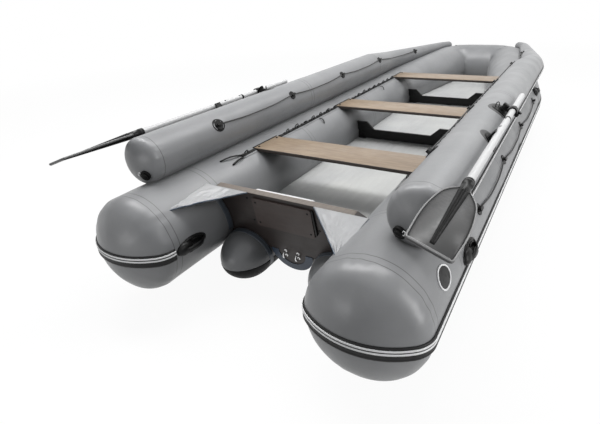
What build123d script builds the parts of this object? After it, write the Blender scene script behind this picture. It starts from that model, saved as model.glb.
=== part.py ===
"""Inflatable boat with doubled side tubes, a twin-keel bottom, three benches and two stowed oars.

Frame: X to starboard, Y to the bow, Z up. The origin is on the ground under the middle of the boat.
Stations are distances forward of a datum a little aft of the transom, turned into Y by station().
"""

import os
from math import atan2, cos, degrees, radians, sin, sqrt, tan

from build123d import *

# ---------------------------------------------------------------- driving dimensions, millimetres
SEAT_GAP = 0.3  # between glued or resting curved faces, so that they meet without overlapping
FAR = 8000.0  # longer than the boat, for blocks that cut or keep everything on one side
BLUNT_KNUCKLE = 0.7  # bend radius at the seam of a tube end, as a share of the end's length
LONG_KNUCKLE = 1.12  # the same for an end that is longer than the tube's radius

main_radius = 250.0
main_half_spacing = 612.5  # from the centreline to each main tube's axis
main_cap_length = 162.6  # how far the rounded stern end stands out past its seam
main_cap_station = -170.4
main_joint_station = 3300.0  # where the straight tube meets the bow piece

bow_bend_station = 3480.0  # corner of the tube's axis where it starts to close in
bow_bend_radius = 1500.0
bow_narrowing = 262.5  # from the straight tube's axis in to the axis's corner at the nose
nose_station = 5020.0
nose_crease = 12.0  # the bend's radius on the tube's inner side at that corner
nose_rise = 75.0  # how much higher the nose sits than the straight tube

upper_radius = 124.5
upper_lean = 73.1  # degrees above the horizontal, from the main tube's axis to the upper one's
upper_squash = 13.7  # how far the two tubes are pressed into each other
upper_cap_length = 69.5
upper_cap_station = 51.0
upper_taper_station = 3000.0  # from here the upper tube thins towards its tip
upper_tip_setback = 90.0  # from the nose's axis aft to the tip
upper_tip_radius = 45.0
upper_tip_lean = 62.0  # degrees above the horizontal where the tip rests on the main tube

keel_radius = 140.0
keel_cap_length = 178.0
keel_cap_station = 255.0
keel_rise_station = 3300.0
keel_tip_setback = 280.0  # from the nose's axis aft to the tip
keel_tip_radius = 60.0
keel_tip_half_spacing = 150.0
keel_depth_below_main = 90.0  # the keel tubes stand this much lower than the main tubes

tunnel_radius = 125.0
tunnel_bottom = 75.0
tunnel_tip_radius = 50.0
tunnel_tip_axis = 215.0

floor_thickness = 18.0
floor_front_setback = 190.0  # from the nose's axis aft to the floor's front, before the tube cuts it

transom_above_axis = 199.0  # the top edge, above the main tubes' axis
transom_thickness = 36.0
transom_rake = 12.4  # degrees, the top leans aft
transom_top_station = 202.0  # aft face at the top edge
transom_half_width = 392.0  # of the straight top edge
transom_shoulder = 140.0  # how far the corners beside the tubes lie below the top edge

pad_width = 340.0
pad_height = 175.0
pad_thickness = 10.0
pad_below_top = 22.0

pad_corner = 12.0

cuff_width = 42.0
cuff_thickness = 3.0
ring_spacing = 76.0
ring_wire = 8.0
ring_half_height = 16.0
ring_reach = 30.0
ring_height_above_bottom = 111.0

gusset_thickness = 4.0
gusset_reach = 300.0  # along the tube, aft of the transom's top edge
gusset_inner_half = 190.0
gusset_below_top = 6.0  # its edge on the board, below the board's top
gusset_fall = 12.0  # how much lower its aft corner is
gusset_tuck = 20.0  # how far the aft corner reaches into the tube's outline
gusset_overlap = 10.0  # how far the edge on the board is laid past the board's aft face

seat_stations = {"aft": 699.0, "middle": 1826.0, "forward": 3133.5}
seat_depth = 255.6
seat_overhang = 29.6  # past the middle of the rail, at each end
seat_lift = 0.3  # the seat's middle plane above the middle of the rail
seat_thickness = 22.0

rib_stations = {"aft": 1944.0, "forward": 3250.0}
rib_thickness = 20.0
rib_height = 72.0
rib_ear_height = 134.0
rib_ear_start = 300.0  # half width where the raised ends begin
rib_ear_width = 70.0

rail_thickness = 3.0
rail_width = 42.0
rail_lean = 64.0  # degrees above the horizontal, on the inboard side
rail_stations = (560.0, 3400.0)

strake_width = 62.0
strake_thickness = 8.0
strake_inboard_end = -170.0  # station where the strake ends on the inboard side of the stern
upper_strake_width = 30.0
upper_strake_thickness = 5.0
upper_strake_end = 4500.0

grip_length = 200.0
grip_width = 64.0
grip_pad = 4.0
grip_rise = 34.0
grip_thickness = 12.0
grip_end = 20.0  # from the pad's end to the strap's end
grip_flat_share = 0.45  # of half the strap's length
stern_grip_station = -62.0
side_grip_station = 350.0
side_grip_lean = 15.0
bow_grip_station = 3240.0
bow_grip_lean = 35.0

valve_radius = 27.0
valve_height = 9.0
valve_cap_radius = 18.9
valve_cap_height = 4.0
valve_offset_share = 0.42  # inboard and down from the tube's axis, of the tube's radius
badge_size = (120.0, 86.0)
badge_thickness = 2.0
badge_station = 30.0
badge_lean = 30.0

line_diameter = 8.0
holder_radius = 29.0
holder_pad = 4.0
holder_height = 20.0
holder_length = 16.0
eye_play = 1.2  # between the line and its eye
holder_straight = 24.0  # the line runs straight this far each side of a holder's middle
line_clearance = 8.0  # from the tube's surface to the line's axis
inner_line_lean = 34.0
inner_line_stations = (525.0, 1334.0, 2152.0, 2998.0, 4030.0)
inner_line_sag = 7.0  # degrees around the tube
outer_line_lean = 30.0
outer_line_stations = (638.0, 1359.0, 2127.0, 2929.0)
outer_line_sag = 6.0

oar_diameter = 32.0
oar_handle_station = 1620.0
oar_socket_station = 176.0
oar_socket_diameter = 40.0
pin_station = 1235.0
pin_lean = 54.0  # degrees above the horizontal, on the outboard side of the upper tube
pin_diameter = 12.0
pin_play = 0.05
oar_offset = 44.0  # from the pin to the shaft, outboard
oar_height = 35.0  # from the tube's surface at the pin to the shaft's axis
rowlock_patch_radius = 55.0
rowlock_patch = 5.0
rowlock_post_radius = 22.0
rowlock_post = 16.0
fork_gap = 0.5
fork_thickness = 11.5
fork_width = 32.0
clamp_length = 40.0
clamp_wall = 8.0
clamp_play = 0.1
lug_length = 16.0
knob_radius = 15.0
knob_height = 9.0
clip_station = 780.0
clip_length = 46.0
clip_wall = 8.0
clip_play = 1.0
clip_patch_radius = 45.0

blade_tip_station = -330.0
blade_tip_half_width = 73.0
blade_half_width = 85.0
blade_wide_station = -120.0
blade_shoulder_station = 100.0
blade_shoulder_half_width = 22.0
blade_neck_station = 45.0
blade_neck_half_width = 62.0
blade_roll = 20.0  # degrees, the outboard edge hangs lower
blade_thickness = 4.0
blade_rim_width = 5.0
blade_rim_thickness = 11.0
blade_rib_station = -294.0
blade_rib_tip_radius = 4.0

# ---------------------------------------------------------------- places that follow from these
main_axis = keel_depth_below_main + main_radius
nose_half_width = main_half_spacing - bow_narrowing
nose_radius = main_radius + nose_crease
upper_reach = main_radius + upper_radius - upper_squash
upper_half_spacing = main_half_spacing + upper_reach * cos(radians(upper_lean))
upper_axis = main_axis + upper_reach * sin(radians(upper_lean))
upper_tip_station = nose_station - upper_tip_setback
keel_axis = keel_radius
keel_tip_station = nose_station - keel_tip_setback
nose_axis = main_axis + nose_rise
aft_end = min(main_cap_station - main_cap_length, blade_tip_station)
fore_end = nose_station + main_radius
middle = (aft_end + fore_end) / 2

keel_half_spacing = main_half_spacing - sqrt(
    (main_radius + keel_radius + SEAT_GAP) ** 2 - (main_axis - keel_axis) ** 2
)
tunnel_axis = tunnel_bottom + tunnel_radius
floor_bottom = 2 * keel_radius
floor_top = floor_bottom + floor_thickness
floor_front_station = nose_station - floor_front_setback
transom_top = main_axis + transom_above_axis
seat_top = main_axis + main_radius * sin(radians(rail_lean)) + seat_lift + seat_thickness / 2
seat_half_length = main_half_spacing - main_radius * cos(radians(rail_lean)) + seat_overhang


def station(distance):
    """Y of a station."""
    return distance - middle


def keep(name, part):
    """Label a finished piece and write its file."""
    part.label = name
    export_step(part, f"parts/{name}.step")
    return part


def keep_both(name, starboard):
    """Write a starboard piece and its mirror image."""
    with BuildPart() as port:
        mirror(starboard, about=Plane.YZ)
    keep(f"{name}_starboard", starboard)
    keep(f"{name}_port", port.part)
    return port.part


# ---------------------------------------------------------------- shapes that several pieces share
def capped_tube(x, z, radius, cap_length, cap_at, end_at):
    """A straight tube along Y with a rounded stern end: a knuckle at the seam, then a crown."""
    side = Plane(origin=(x, station(cap_at), z), x_dir=(0, 1, 0), z_dir=(1, 0, 0))
    knuckle = cap_length * (BLUNT_KNUCKLE if cap_length < radius else LONG_KNUCKLE)
    crown = (cap_length**2 + (radius - knuckle) ** 2 - knuckle**2) / (2 * (cap_length - knuckle))
    turn = atan2(abs(radius - knuckle), abs(crown - cap_length))
    join = (crown - cap_length - crown * cos(turn), crown * sin(turn))
    half_turn = turn / 2
    crown_middle = (crown - cap_length - crown * cos(half_turn), crown * sin(half_turn))
    knuckle_turn = (turn + radians(90)) / 2
    knuckle_middle = (-knuckle * cos(knuckle_turn), radius - knuckle + knuckle * sin(knuckle_turn))
    with BuildPart() as tube:
        with BuildSketch(side):
            with BuildLine():
                Line((0, radius), (end_at - cap_at, radius))
                Line((end_at - cap_at, radius), (end_at - cap_at, 0))
                Line((end_at - cap_at, 0), (-cap_length, 0))
                ThreePointArc((-cap_length, 0), crown_middle, join)
                ThreePointArc(join, knuckle_middle, (0, radius))
            make_face()
        revolve(axis=Axis((x, station(cap_at), z), (0, 1, 0)))
    return tube.part.solid()


def bow_axis():
    """The main tube's axis from the starboard joint round the nose to the port joint."""
    with BuildLine() as line:
        FilletPolyline(
            (main_half_spacing, station(main_joint_station), main_axis),
            (main_half_spacing, station(bow_bend_station), main_axis),
            (nose_half_width, station(nose_station), nose_axis),
            (-nose_half_width, station(nose_station), nose_axis),
            (-main_half_spacing, station(bow_bend_station), main_axis),
            (-main_half_spacing, station(main_joint_station), main_axis),
            radius=[bow_bend_radius, nose_radius, nose_radius, bow_bend_radius],
        )
    return line.wire()


def bow_tube(radius):
    """The whole bow horseshoe at a given tube radius."""
    joint = Plane(
        origin=(main_half_spacing, station(main_joint_station), main_axis),
        x_dir=(1, 0, 0),
        z_dir=(0, 1, 0),
    )
    with BuildPart() as tube:
        with BuildSketch(joint) as section:
            Circle(radius)
        sweep(sections=section.sketch, path=bow_axis())
    return tube.part.solid()


def bow_frame(distance):
    """Place, outward direction and upward direction of the main axis at a station, starboard side."""
    if distance <= main_joint_station:
        place = Vector(main_half_spacing, station(distance), main_axis)
        return place, Vector(1, 0, 0), Vector(0, 0, 1), Vector(0, 1, 0)
    path = bow_axis()
    low, high = 0.0, 0.5
    for _ in range(40):
        guess = (low + high) / 2
        if path.position_at(guess).Y < station(distance):
            low = guess
        else:
            high = guess
    place = path.position_at(low)
    along = path.tangent_at(low)
    outward = along.cross(Vector(0, 0, 1)).normalized()
    return place, outward, outward.cross(along).normalized(), along


def upper_frame(distance):
    """Centre, outward, upward and forward directions and radius of the upper tube at a station."""
    place, outward, upward, along = bow_frame(distance)
    share = max(0.0, (distance - upper_taper_station) / (upper_tip_station - upper_taper_station))
    radius = upper_radius + (upper_tip_radius - upper_radius) * share
    lean = radians(upper_lean + (upper_tip_lean - upper_lean) * share)
    reach = upper_reach + radius - upper_radius
    centre = place + outward * (reach * cos(lean)) + upward * (reach * sin(lean))
    return centre, outward, upward, along, radius


def tip_dome(centre, along, radius):
    """Half a ball that closes a tube's end, standing on the plane through centre."""
    with BuildPart() as dome:
        with BuildSketch(Plane(origin=centre, x_dir=along, z_dir=along.cross(Vector(0, 0, 1)))):
            with BuildLine():
                Line((0, 0), (0, radius))
                ThreePointArc((0, radius), (radius * sqrt(0.5), radius * sqrt(0.5)), (radius, 0))
                Line((radius, 0), (0, 0))
            make_face()
        revolve(axis=Axis(centre, along))
    return dome.part.solid()


def upper_tube_body(extra):
    """The starboard upper tube, made thicker all round by extra."""
    straight = capped_tube(
        upper_half_spacing,
        upper_axis,
        upper_radius + extra,
        upper_cap_length + extra,
        upper_cap_station,
        upper_taper_station,
    )
    taper_sections = 12
    step = (upper_tip_station - upper_taper_station) / taper_sections
    stations = [upper_taper_station + step * number for number in range(taper_sections + 1)]
    with BuildPart() as tube:
        add(straight)
        sketches = []
        for distance in stations:
            centre, outward, upward, along, radius = upper_frame(distance)
            with BuildSketch(Plane(origin=centre, x_dir=outward, z_dir=along)) as section:
                Circle(radius + extra)
            sketches.append(section.sketch)
        loft(sections=sketches, ruled=True)
        add(tip_dome(centre, along, radius + extra))
    return tube.part.solid()


def tube_plane(x, z, radius, distance, lean, side=1):
    """A plane touching a straight tube, x along the tube and z outward, lean above the horizontal."""
    outward = Vector(side * cos(radians(lean)), 0, sin(radians(lean)))
    origin = Vector(x, station(distance), z) + outward * radius
    return Plane(origin=origin, x_dir=(0, 1, 0), z_dir=outward)


os.makedirs("parts", exist_ok=True)

# ---------------------------------------------------------------- buoyancy tubes
main_tube = capped_tube(
    main_half_spacing, main_axis, main_radius, main_cap_length, main_cap_station, main_joint_station
)
main_clear = capped_tube(
    main_half_spacing,
    main_axis,
    main_radius + SEAT_GAP,
    main_cap_length + SEAT_GAP,
    main_cap_station,
    main_joint_station,
)
bow_clear = bow_tube(main_radius + SEAT_GAP)
keep_both("main_tube", main_tube)

inward = Vector(
    nose_half_width - main_half_spacing, nose_station - bow_bend_station, nose_rise
).normalized()
mitre_normal = (inward + Vector(-1, 0, 0)).normalized()
mitre = Plane(origin=(nose_half_width, station(nose_station), nose_axis), z_dir=mitre_normal)
port_mitre = Plane(
    origin=(-nose_half_width, station(nose_station), nose_axis),
    z_dir=(-mitre_normal.X, mitre_normal.Y, mitre_normal.Z),
)
whole_bow = bow_tube(main_radius)
with BuildPart() as nose:
    add(whole_bow)
    split(bisect_by=mitre, keep=Keep.TOP)
    split(bisect_by=port_mitre, keep=Keep.TOP)
keep("bow_nose", nose.part)
with BuildPart() as quarter:
    add(whole_bow)
    split(bisect_by=mitre, keep=Keep.BOTTOM)
    split(bisect_by=Plane.YZ, keep=Keep.TOP)
keep_both("bow_quarter", quarter.part)

upper_body = upper_tube_body(0)
with BuildPart() as upper_tube:
    add(upper_body)
    add(main_clear, mode=Mode.SUBTRACT)
    add(bow_clear, mode=Mode.SUBTRACT)
keep_both("upper_tube", upper_tube.part)

# ---------------------------------------------------------------- bottom: twin keel tubes, tunnel and floor
def bottom_tube(straight, start, tip, extra):
    """A straight bottom tube with a front stretch that thins towards the bow.

    start and tip are the half spacing, height and radius where the front stretch begins and ends.
    """
    sections = 8
    with BuildPart() as front:
        add(straight)
        sketches = []
        for number in range(sections + 1):
            share = number / sections
            x, z, radius = (a + (b - a) * share * share for a, b in zip(start, tip))
            y = station(keel_rise_station + (keel_tip_station - keel_rise_station) * share)
            with BuildSketch(Plane(origin=(x, y, z), x_dir=(1, 0, 0), z_dir=(0, 1, 0))) as section:
                Circle(radius + extra)
            sketches.append(section.sketch)
        loft(sections=sketches, ruled=True)
        add(tip_dome(Vector(x, y, z), Vector(0, 1, 0), radius + extra))
    return front.part.solid()


def keel_tube_body(extra):
    """The starboard keel tube, thinning and rising to the bow, thicker all round by extra."""
    straight = capped_tube(
        keel_half_spacing,
        keel_axis,
        keel_radius + extra,
        keel_cap_length + extra,
        keel_cap_station,
        keel_rise_station,
    )
    start = (keel_half_spacing, keel_axis, keel_radius)
    tip = (keel_tip_half_spacing, 2 * keel_radius - keel_tip_radius, keel_tip_radius)
    return bottom_tube(straight, start, tip, extra)


keel_clear = keel_tube_body(SEAT_GAP)
with BuildPart() as keel_tube:
    add(keel_tube_body(0))
    add(bow_clear, mode=Mode.SUBTRACT)
keep_both("keel_tube", keel_tube.part)

transom_top_point = Vector(0, station(transom_top_station), transom_top)
transom_plane = Plane(
    origin=transom_top_point,
    x_dir=(1, 0, 0),
    z_dir=(0, -cos(radians(transom_rake)), -sin(radians(transom_rake))),
)


def both_sides_cut(*starboard_bodies):
    """Take starboard bodies and their mirror images away from the part being built."""
    for body in starboard_bodies:
        add(body, mode=Mode.SUBTRACT)
        mirror(body, about=Plane.YZ, mode=Mode.SUBTRACT)


def aft_of_transom(depth):
    """A block that fills everything aft of the transom's forward face plus depth."""
    with BuildPart(transom_plane.offset(-transom_thickness - depth)) as block:
        Box(FAR, FAR, FAR, align=(Align.CENTER, Align.CENTER, Align.MIN))
    return block.part.solid()


floor_length = floor_front_station - transom_top_station
with BuildPart() as air_floor:
    with Locations((0, station(transom_top_station), floor_bottom)):
        Box(
            2 * main_half_spacing,
            floor_length,
            floor_thickness,
            align=(Align.CENTER, Align.MIN, Align.MIN),
        )
    both_sides_cut(main_clear, keel_clear)
    add(bow_clear, mode=Mode.SUBTRACT)
    add(aft_of_transom(SEAT_GAP), mode=Mode.SUBTRACT)
keep("air_floor", air_floor.part.solids().sort_by(SortBy.VOLUME)[-1])

tunnel_roof = floor_bottom - SEAT_GAP
with BuildPart() as tunnel_straight:
    with BuildSketch(Plane(origin=(0, station(transom_top_station), tunnel_axis), z_dir=(0, 1, 0))):
        Circle(tunnel_radius)
    extrude(amount=keel_rise_station - transom_top_station)
tunnel_tube = bottom_tube(
    tunnel_straight.part.solid(),
    (0, tunnel_axis, tunnel_radius),
    (0, tunnel_tip_axis, tunnel_tip_radius),
    0,
)
with BuildPart() as tunnel:
    add(tunnel_tube)
    with Locations((0, 0, tunnel_roof)):
        Box(FAR, FAR, FAR, align=(Align.CENTER, Align.CENTER, Align.MIN), mode=Mode.SUBTRACT)
    both_sides_cut(keel_clear)
    add(bow_clear, mode=Mode.SUBTRACT)
    add(aft_of_transom(SEAT_GAP), mode=Mode.SUBTRACT)
keep("hull_bottom", tunnel.part)

# ---------------------------------------------------------------- transom and what is on it
def on_board(height):
    """The board's own coordinate, down its face from the top edge, of a height above the ground."""
    return -(transom_top - height) / cos(radians(transom_rake))


tunnel_on_board = on_board(tunnel_axis)
with BuildPart() as transom:
    with BuildSketch(transom_plane):
        with BuildLine():
            Polyline(
                (transom_half_width, 0),
                (main_half_spacing, -transom_shoulder),
                (main_half_spacing, on_board(keel_axis)),
                (tunnel_radius, tunnel_on_board),
            )
            RadiusArc(
                (tunnel_radius, tunnel_on_board),
                (-tunnel_radius, tunnel_on_board),
                -tunnel_radius,
                short_sagitta=False,
            )
            Polyline(
                (-tunnel_radius, tunnel_on_board),
                (-main_half_spacing, on_board(keel_axis)),
                (-main_half_spacing, -transom_shoulder),
                (-transom_half_width, 0),
                (transom_half_width, 0),
            )
        make_face()
    extrude(amount=-transom_thickness)
    both_sides_cut(main_clear, keel_clear)
keep("transom_board", transom.part.solids().sort_by(SortBy.VOLUME)[-1])

pad_centre = -(pad_below_top + pad_height / 2)
with BuildPart() as aft_pad:
    with BuildSketch(transom_plane):
        with Locations((0, pad_centre)):
            RectangleRounded(pad_width, pad_height, pad_corner)
    extrude(amount=pad_thickness)
keep("motor_pad_aft", aft_pad.part)
with BuildPart() as inner_pad:
    with BuildSketch(transom_plane.offset(-transom_thickness)):
        with Locations((0, pad_centre + pad_below_top)):
            RectangleRounded(pad_width, pad_height, pad_corner)
    extrude(amount=-pad_thickness)
keep("motor_pad_inner", inner_pad.part)

with BuildPart() as cuff:
    with BuildSketch(transom_plane):
        with Locations((0, tunnel_on_board)):
            Circle(tunnel_radius)
            Circle(tunnel_radius - cuff_width, mode=Mode.SUBTRACT)
            Rectangle(
                4 * tunnel_radius,
                2 * tunnel_radius,
                align=(Align.CENTER, Align.MIN),
                mode=Mode.SUBTRACT,
            )
    extrude(amount=cuff_thickness)
    both_sides_cut(keel_clear)
keep("tunnel_cuff", cuff.part)

ring_on_board = on_board(tunnel_bottom + ring_height_above_bottom)
ring_bend = ring_half_height * 0.9
with BuildPart() as tow_rings:
    for side in (-1, 1):
        across = side * ring_spacing / 2
        low = ring_on_board - ring_half_height
        high = ring_on_board + ring_half_height
        corners = [(low, SEAT_GAP), (low, ring_reach), (high, ring_reach), (high, SEAT_GAP)]
        with BuildLine() as loop:
            FilletPolyline(
                *(transom_plane.from_local_coords(Vector(across, up, out)) for up, out in corners),
                radius=ring_bend,
            )
        start = Plane(origin=loop.wire() @ 0, z_dir=transom_plane.z_dir)
        with BuildSketch(start) as wire:
            Circle(ring_wire / 2)
        sweep(sections=wire.sketch, path=loop.wire())
keep("tow_rings", tow_rings.part)

# the gusset's corners: on the tube aft, on the transom's top edge outboard and inboard
gusset_top = transom_top - gusset_below_top
gusset_low = gusset_top - gusset_fall
gusset_aft_x = main_half_spacing - sqrt(main_radius**2 - (gusset_low - main_axis) ** 2)
gusset_board_y = station(transom_top_station + gusset_overlap)
gusset_corners = [
    Vector(gusset_aft_x + gusset_tuck, station(transom_top_station - gusset_reach), gusset_low),
    Vector(main_half_spacing, gusset_board_y, gusset_top),
    Vector(gusset_inner_half, gusset_board_y, gusset_top),
]
gusset_normal = (gusset_corners[1] - gusset_corners[0]).cross(gusset_corners[2] - gusset_corners[0])
gusset_plane = Plane(
    origin=gusset_corners[0],
    x_dir=gusset_corners[2] - gusset_corners[0],
    z_dir=gusset_normal,
)
with BuildPart() as transom_front:
    with BuildSketch(transom_plane):
        Rectangle(FAR, FAR)
    extrude(amount=-FAR)
with BuildPart() as gusset:
    with BuildSketch(gusset_plane):
        with BuildLine():
            corners = [gusset_plane.to_local_coords(corner) for corner in gusset_corners]
            Polyline([(corner.X, corner.Y) for corner in corners], close=True)
        make_face()
    extrude(amount=gusset_thickness)
    add(main_clear, mode=Mode.SUBTRACT)
    add(transom_front.part, mode=Mode.SUBTRACT)
keep_both("transom_gusset", gusset.part)

# ---------------------------------------------------------------- seats, their rails and the floor ribs
def rail_body(low, high):
    """A strip bent round the inboard top of the starboard main tube, between two heights above it."""
    half_turn = degrees(rail_width / 2 / main_radius)
    front = Plane(
        origin=(main_half_spacing, station(rail_stations[0]), main_axis),
        x_dir=(-1, 0, 0),
        z_dir=(0, 1, 0),
    )
    with BuildPart() as rail:
        with BuildSketch(front):
            with BuildLine():
                inner = CenterArc(
                    (0, 0), main_radius + low, rail_lean - half_turn, 2 * half_turn
                )
                outer = CenterArc(
                    (0, 0), main_radius + high, rail_lean - half_turn, 2 * half_turn
                )
                Line(inner @ 0, outer @ 0)
                Line(inner @ 1, outer @ 1)
            make_face()
        extrude(amount=rail_stations[1] - rail_stations[0])
    return rail.part.solid()


with BuildPart() as rail:
    add(rail_body(SEAT_GAP, rail_thickness))
    add(bow_clear, mode=Mode.SUBTRACT)
keep_both("seat_rail", rail.part)
seat_rest = capped_tube(
    main_half_spacing,
    main_axis,
    main_radius + rail_thickness + SEAT_GAP,
    main_cap_length,
    main_cap_station,
    main_joint_station,
)
bow_rest = bow_tube(main_radius + rail_thickness + SEAT_GAP)

for name, distance in seat_stations.items():
    with BuildPart() as seat:
        with Locations((0, station(distance), seat_top - seat_thickness)):
            Box(
                2 * seat_half_length,
                seat_depth,
                seat_thickness,
                align=(Align.CENTER, Align.MIN, Align.MIN),
            )
        both_sides_cut(seat_rest)
        add(bow_rest, mode=Mode.SUBTRACT)
    keep(f"seat_{name}", seat.part)

for name, distance in rib_stations.items():
    face = Plane(origin=(0, station(distance), floor_top), x_dir=(1, 0, 0), z_dir=(0, -1, 0))
    with BuildPart() as rib:
        with BuildSketch(face):
            with BuildLine():
                Polyline(
                    (-main_half_spacing, 0),
                    (main_half_spacing, 0),
                    (main_half_spacing, rib_ear_height),
                    (rib_ear_start + rib_ear_width, rib_ear_height),
                    (rib_ear_start, rib_height),
                    (-rib_ear_start, rib_height),
                    (-rib_ear_start - rib_ear_width, rib_ear_height),
                    (-main_half_spacing, rib_ear_height),
                    close=True,
                )
            make_face()
        extrude(amount=-rib_thickness)
        both_sides_cut(main_clear)
        add(bow_clear, mode=Mode.SUBTRACT)
    keep(f"floor_rib_{name}", rib.part)

# ---------------------------------------------------------------- strakes round the tubes
def strake_profile(radius, width, low, high):
    """A band bent round a tube's outboard side, as a sketch in the tube's own section."""
    half_turn = degrees(width / 2 / radius)
    with BuildSketch() as profile:
        with BuildLine():
            inner = CenterArc((0, 0), radius + low, -half_turn, 2 * half_turn)
            outer = CenterArc((0, 0), radius + high, -half_turn, 2 * half_turn)
            Line(inner @ 0, outer @ 0)
            Line(inner @ 1, outer @ 1)
        make_face()
    return profile.sketch


main_outer = capped_tube(
    main_half_spacing,
    main_axis,
    main_radius + strake_thickness,
    main_cap_length + strake_thickness,
    main_cap_station,
    main_joint_station,
)
with BuildPart() as strake_stern:
    add(main_outer)
    with Locations((0, 0, main_axis)):
        Box(FAR, 2 * FAR, strake_width, mode=Mode.INTERSECT)
    with Locations((main_half_spacing, station(strake_inboard_end), main_axis)):
        Box(FAR, FAR, FAR, align=(Align.MAX, Align.MIN, Align.CENTER), mode=Mode.SUBTRACT)
    with Locations((main_half_spacing, station(main_joint_station), main_axis)):
        Box(FAR, FAR, FAR, align=(Align.CENTER, Align.MIN, Align.CENTER), mode=Mode.SUBTRACT)
    add(main_clear, mode=Mode.SUBTRACT)
joint_plane = Plane(
    origin=(main_half_spacing, station(main_joint_station), main_axis),
    x_dir=(1, 0, 0),
    z_dir=(0, 1, 0),
)
with BuildPart() as strake_bow:
    with BuildSketch(joint_plane) as strake_section:
        add(strake_profile(main_radius, strake_width, SEAT_GAP, strake_thickness))
    sweep(sections=strake_section.sketch, path=bow_axis())
    split(bisect_by=Plane.YZ, keep=Keep.TOP)
with BuildPart() as strake:
    add(strake_stern.part)
    add(strake_bow.part)
keep_both("rub_strake", strake.part)

# ---------------------------------------------------------------- grips, valves and badges
def grip(plane, tube_clear):
    """A carrying grip: a pad on the tube and a strap arched over it."""
    half = grip_length / 2 - grip_end
    flat = half * grip_flat_share
    foot = 1 - grip_pad  # inside the pad, so that strap and pad are one
    crown = grip_thickness - grip_rise
    inner_half = half - 1.6 * grip_thickness
    inner_flat = flat - 0.4 * grip_thickness
    arch = Plane(origin=plane.origin, x_dir=plane.x_dir, z_dir=plane.y_dir)
    with BuildPart() as piece:
        with BuildSketch(plane.offset(-main_radius / 4)):
            SlotOverall(grip_length, grip_width)
        extrude(amount=main_radius / 4 + grip_pad)
        add(tube_clear, mode=Mode.SUBTRACT)
        with BuildSketch(arch):
            with BuildLine():
                Polyline(
                    (-half, foot),
                    (-flat, -grip_rise),
                    (flat, -grip_rise),
                    (half, foot),
                    (inner_half, foot),
                    (inner_flat, crown),
                    (-inner_flat, crown),
                    (-inner_half, foot),
                    close=True,
                )
            make_face()
        extrude(amount=grip_width / 4, both=True)
    return piece.part


stern_plane = tube_plane(main_half_spacing, main_axis, main_radius, stern_grip_station, 0, side=-1)
stern_grip = grip(stern_plane, main_clear)
keep_both("stern_grip", stern_grip)
side_plane = tube_plane(main_half_spacing, main_axis, main_radius, side_grip_station, side_grip_lean)
keep_both("side_grip", grip(side_plane, main_clear))
bow_plane = tube_plane(main_half_spacing, main_axis, main_radius, bow_grip_station, bow_grip_lean)
bow_grip_piece = grip(bow_plane, main_clear)
with BuildPart() as bow_grip:
    add(bow_grip_piece)
    add(bow_clear, mode=Mode.SUBTRACT)
keep_both("bow_grip", bow_grip.part)

valve_offset = upper_radius * valve_offset_share
valve_depth = upper_cap_length * sqrt(1 - 2 * valve_offset_share**2)
valve_slope = Vector(
    -valve_offset / upper_radius**2, -valve_depth / upper_cap_length**2, -valve_offset / upper_radius**2
).normalized()
valve_seat = Plane(
    origin=(
        upper_half_spacing - valve_offset,
        station(upper_cap_station) - valve_depth,
        upper_axis - valve_offset,
    ),
    z_dir=valve_slope,
)
with BuildPart() as valve:
    with BuildSketch(valve_seat.offset(-valve_height)):
        Circle(valve_radius)
    extrude(amount=2 * valve_height)
    with BuildSketch(valve_seat.offset(valve_height)):
        Circle(valve_cap_radius)
    extrude(amount=valve_cap_height)
    add(upper_tube_body(SEAT_GAP), mode=Mode.SUBTRACT)
keep_both("air_valve", valve.part)

badge_plane = tube_plane(main_half_spacing, main_axis, main_radius, badge_station, badge_lean)
badge_outer = capped_tube(
    main_half_spacing,
    main_axis,
    main_radius + badge_thickness,
    main_cap_length + badge_thickness,
    main_cap_station,
    main_joint_station,
)
with BuildPart() as badge:
    with BuildSketch(badge_plane.offset(-40)):
        Ellipse(badge_size[0] / 2, badge_size[1] / 2)
    extrude(amount=80)
    add(badge_outer, mode=Mode.INTERSECT)
    add(main_clear, mode=Mode.SUBTRACT)
keep_both("name_badge", badge.part)

# ---------------------------------------------------------------- grab lines and their holders
def surface_place(frame, lean, height, side):
    """A point at a height above a tube's surface, lean above the horizontal on one side of it."""
    centre, outward, upward, _, radius = frame
    direction = outward * (side * cos(radians(lean))) + upward * sin(radians(lean))
    return centre + direction * (radius + height), direction


def main_frame(distance):
    """Centre, directions and radius of the main tube at a station."""
    place, outward, upward, along = bow_frame(distance)
    return place, outward, upward, along, main_radius


def holder_run(frame_at, distance, lean, side):
    """The two ends of the line's straight run through a holder."""
    return [
        surface_place(frame_at(distance + step), lean, line_clearance, side)[0]
        for step in (-holder_straight, holder_straight)
    ]


def holder(frame_at, distance, lean, side, tube_clear):
    """A round pad on the tube with an eye that the line runs through."""
    seat, direction = surface_place(frame_at(distance), lean, 0, side)
    before, after = holder_run(frame_at, distance, lean, side)
    along = (after - before).normalized()
    plane = Plane(origin=seat, x_dir=along, z_dir=direction)
    with BuildPart() as piece:
        with BuildSketch(plane.offset(-holder_radius / 2)):
            Circle(holder_radius)
        extrude(amount=holder_radius / 2 + holder_pad)
        with BuildSketch(plane):
            SlotOverall(holder_radius * 1.6, holder_length)
        extrude(amount=holder_height)
        add(tube_clear, mode=Mode.SUBTRACT)
        eye = Plane(origin=(before + after) / 2, z_dir=along)
        with BuildSketch(eye):
            Circle(line_diameter / 2 + eye_play)
        extrude(amount=holder_radius * 1.5, both=True, mode=Mode.SUBTRACT)
    return piece.part


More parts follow.
